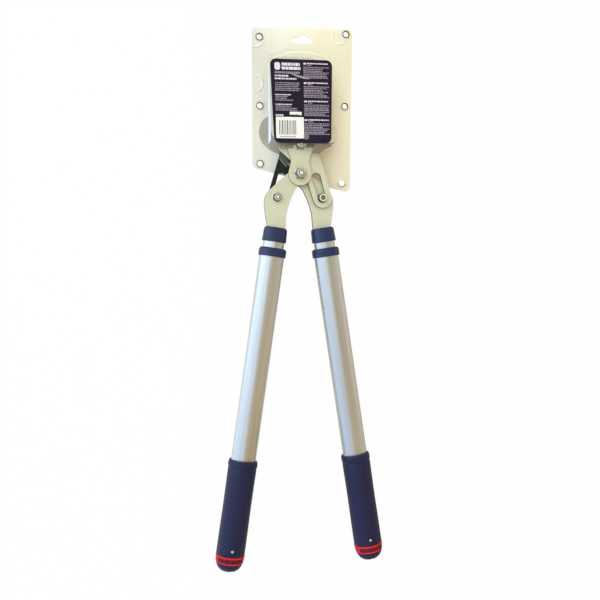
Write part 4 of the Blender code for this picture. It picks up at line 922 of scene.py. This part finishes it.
def eyelets(materials):
    """Crimped eyelets whose rims are split into petals."""
    profile = ((3.7, 0.12, 0), (4.0, 0.12, 0), (4.0, 2.42, 0), (4.72, 2.42, 1), (4.8, 2.62, 1),
               (4.6, 2.92, 1), (4.2, 3.0, 1), (3.85, 2.92, 0.4), (3.7, 2.7, 0))
    for number in range(1, 6):
        node = "eyelet_%d" % number
        low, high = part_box(node)
        centre = ((low.x + high.x) / 2 / MM, (low.y + high.y) / 2 / MM)
        turned = math.radians(EYELET_TURN * number)
        rings = []
        for radius, z, petal in profile:
            row = []
            for turn in turns(96):
                split = 0.5 * petal * max(0.0, math.cos(EYELET_PETALS * turn)) ** 4
                drop = split if z > 2.5 else 0.0
                reach = radius - split
                row.append((centre[0] + reach * math.cos(turn + turned), centre[1] + reach * math.sin(turn + turned),
                            z - drop))
            rings.append(row)
        piece = mesh_object(node + "_detail", loft(rings, closed=True), materials["eyelet"], "pack",
                            angle=40.0)
        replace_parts(piece, node)


def film_piece(name, sections, material, smooth=False):
    """A piece of the pack's clear film."""
    mesh_object(name, loft(sections), material, "pack", smooth)


def ribbon(name, path, wide, high, material, body="pack"):
    """A low ribbon along a path on a flat face, thin at both ends."""
    sections = []
    last = len(path) - 1
    for index, here in enumerate(path):
        ahead = Vector(path[min(index + 1, last)]) - Vector(path[max(index - 1, 0)])
        out = Vector((ahead.y, -ahead.x, 0.0)).normalized()
        swell = math.sin(math.pi * (0.1 + 0.8 * index / last)) ** 0.5
        sections.append([Vector(here) + out * wide * swell * math.cos(turn) + Vector((0, 0, high * math.sin(turn)))
                         for turn in turns(10)])
    mesh_object(name, loft(sections), material, body)


def arc(centre, radii, first, last, steps, z):
    """Points along part of an oval, between two angles in degrees."""
    angles = [math.radians(first + (last - first) * step / steps) for step in range(steps + 1)]
    return [(centre[0] + radii[0] * math.cos(angle), centre[1] + radii[1] * math.sin(angle), z) for angle in angles]


def film_glints(materials):
    """Painted highlights where the bubble is bent, a painted glare on its film and a dark dash beside it."""
    inner = BUBBLE_HALF_WIDTH - BUBBLE_EDGE
    bend = BUBBLE_EDGE - COVER_WALL - 0.1
    level = BUBBLE_HEIGHT - BUBBLE_EDGE
    sections = []
    for step in range(25):
        share = step / 24
        y = 132.0 - 98.0 * share
        taper = min(1.0, 18.0 * (1.01 - share))
        first, last = math.radians(20.0), math.radians(20.0 + (14.0 + 34.0 * share) * taper)
        angles = [first + (last - first) * k / 6 for k in range(7)]
        skin = [(-(inner + bend * math.cos(angle)), y, level + bend * math.sin(angle)) for angle in angles]
        back = [(x + 0.12 * math.cos(angle), y, z - 0.12 * math.sin(angle))
                for (x, y, z), angle in zip(reversed(skin), reversed(angles))]
        sections.append(skin + back)
    film_piece("shoulder_glint", sections, materials["glint"], smooth=True)
    corners = [(-40.0, 144.0), (-34.0, 148.6), (-19.0, 151.7), (0.0, 152.2), (19.0, 151.7), (34.0, 148.6),
               (40.5, 143.0)]
    path = []
    for low, high in zip(corners, corners[1:]):
        path += [(low[0] + (high[0] - low[0]) * k / 4, low[1] + (high[1] - low[1]) * k / 4, COVER_FLAT_TOP)
                 for k in range(4)]
    ribbon("foot_glint", path + [(*corners[-1], COVER_FLAT_TOP)], 0.8, 0.2, materials["arch"])
    # A pale patch over the label, painted glare on the film.
    ribbon("low_painted_glare", [(2.2 + 1.0 * k, 44.6 - 0.25 * k, FILM_TOP) for k in range(8)], 3.4, 0.05,
           materials["painted_glare"])
    arch = [(-35.0, 136.4), (-32.0, 139.4), (-26.0, 142.2), (-19.5, 144.4), (-12.0, 146.0), (-4.0, 146.8),
            (6.0, 147.0), (15.0, 146.6), (23.0, 145.4), (30.0, 143.0), (35.0, 139.4), (37.0, 135.9)]
    ribbon("arch_glint", [(x, y, FILM_TOP - 1.05) for x, y in arch], 0.9, 0.2, materials["arch"])
    ribbon("dark_dash", [(42.6 + 0.62 * k, 40.2 + 0.22 * k + 0.05 * math.sin(1.3 * k), 15.25)
                         for k in range(9)], 0.55, 0.2, materials["dark_mark"])


def bare_hole_lip(materials):
    """A raised dark crescent along one side of the hole that has no eyelet, painted shade of its rim."""
    # The crescent runs along one side only: painted shade.
    path = arc(BARE_HOLE, (4.75, 4.75), 165.0, 355.0, 32, COVER_FLAT_TOP)
    ribbon("bare_hole_lip", path, 0.42, 0.3, materials["dark_mark"])


def blade_face(materials):
    """The paler ground face at the blade's base, and along its bound a pale line that is a painted highlight of its
    step.
    """
    outline = [(-24.9, 19.4), (-15.7, 8.9), (-14.9, 10.6), (-15.3, 13.4), (-14.6, 16.4), (-12.4, 17.6),
               (-12.0, 30.0), (-22.0, 30.0), (-25.4, 26.0)]
    bm = loft(layers(outline, (MID - 0.13, MID - 0.07)))
    mesh_object("blade_ground_face", bm, materials["blade_face"], "blade", smooth=False)
    # The pale line is a painted highlight along the face's step.
    path = [(-25.0 + 9.6 * k / 8, 19.5 - 11.0 * k / 8, MID - 0.12) for k in range(9)]
    ribbon("blade_ground_line", path, 0.28, 0.09, materials["line"], "blade")


def flat_sections(first, second, low, high):
    """Thin upright sections of a flat film between two edges."""
    return [[(*a, low), (*b, low), (*b, high), (*a, high)] for a, b in zip(first, second)]


def folds(materials):
    """Greyish film between the two sheets, beside and below the bubble: a fold of the film, darkened as painted
    shade.
    """
    outer = [(-37.6, 75.4), (-42.4, 71.6), (-46.0, 66.4), (-48.2, 60.4), (-48.9, 54.0), (-47.6, 46.8), (-44.4, 40.8),
             (-39.0, 35.2), (-31.6, 30.8), (-22.0, 27.4), (-11.0, 26.2)]
    inner = [(-34.4, 75.0), (-34.2, 69.0), (-34.0, 63.0), (-33.4, 57.0), (-31.4, 51.0), (-28.3, 46.9), (-24.6, 43.0),
             (-20.4, 39.4), (-16.8, 36.0), (-12.6, 32.0), (-7.4, 27.0)]
    film_piece("left_fold", flat_sections(outer, inner, 1.06, 1.2), materials["fold"])


def mouth_film(materials):
    """Film at the bubble's mouth: lips on both sides of the jaw nut and a brown flap, darkened as painted shadow of
    the card and the bubble's rim.
    """
    lips = (("left", ((-31.0, 39.0), (-16.0, 39.2), (-8.4, 39.4)), ((-24.6, 29.6), (-16.0, 30.4), (-8.4, 31.6))),
            ("right", ((8.4, 39.6), (13.0, 39.8), (18.0, 40.0)), ((8.4, 32.2), (13.0, 32.8), (17.6, 33.0))))
    for name, tops, feet in lips:
        film_piece(name + "_mouth_lip", flat_sections(tops, feet, 26.1, 25.95), materials["lip"])
    near = [(16.5, 38.1), (16.0, 33.4), (15.0, 28.6), (13.5, 24.2)]
    far = [(38.6, 37.5), (38.4, 33.4), (28.4, 28.6), (22.9, 23.4)]
    sections = []
    for index, (a, b) in enumerate(zip(near, far)):
        level = 35.5 - 0.35 * index
        sections += flat_sections([a], [b], level, level - 0.14)
    film_piece("mouth_flap", sections, materials["flap"])


def press_marks(materials):
    """Faint raised loops where the two sheets cling together, paler than the sheet as a painted highlight."""
    places = (("press_mark_top_right", (56.5, 181.0), (9.0, 9.5), 130.0, 345.0),
              ("press_mark_left", (-53.0, 116.0), (9.2, 10.5), -100.0, 100.0),
              ("press_mark_top_left", (-55.0, 174.0), (13.0, 12.0), -95.0, -15.0))
    for name, centre, radii, first, last in places:
        ribbon(name, arc(centre, radii, first, last, 40, COVER_FLAT_TOP), 0.85, 0.22, materials["mark"])


def film_reflection_streak(materials):
    """A long slanting streak under the bubble's top film, a painted reflection on it."""
    start, end = Vector((-18.0, 121.8)), Vector((12.0, 113.6))
    sections = []
    steps = 32
    for step in range(steps + 1):
        share = step / steps
        middle = start.lerp(end, share) + Vector((0.0, -1.2 * math.sin(math.pi * share) + 0.9 * share))
        wide = 0.12 + 1.75 * share ** 0.7 * math.sin(math.pi * min(1.0, share * 1.05)) ** 0.8
        sections.append([(middle.x + wide * 0.3 * math.cos(turn), middle.y + wide * math.cos(turn),
                          FILM_TOP + 0.01 + 0.08 * math.sin(turn)) for turn in turns(12)])
    film_piece("film_reflection_streak", sections, materials["crease"], smooth=True)


def main():
    materials = build_materials()
    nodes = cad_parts
    finish_nodes(nodes, materials)
    soften(nodes)
    make_world()
    make_floor()
    make_lights()
    make_camera()
    for build in (fasteners, tubes, grips, label_print, panel_print, eyelets, folds, mouth_film, band_details,
                  grip_screws, press_marks, film_reflection_streak, film_glints, bare_hole_lip, blade_face):
        build(materials)


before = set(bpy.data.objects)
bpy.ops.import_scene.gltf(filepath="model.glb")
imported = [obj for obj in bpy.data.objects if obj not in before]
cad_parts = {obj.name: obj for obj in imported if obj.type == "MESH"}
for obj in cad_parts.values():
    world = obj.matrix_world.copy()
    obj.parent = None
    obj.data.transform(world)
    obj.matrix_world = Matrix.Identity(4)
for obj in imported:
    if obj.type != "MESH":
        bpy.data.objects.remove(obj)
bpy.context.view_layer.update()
main()
scene = bpy.context.scene
scene.view_settings.view_transform = "Standard"
scene.cycles.transparent_max_bounces = 32
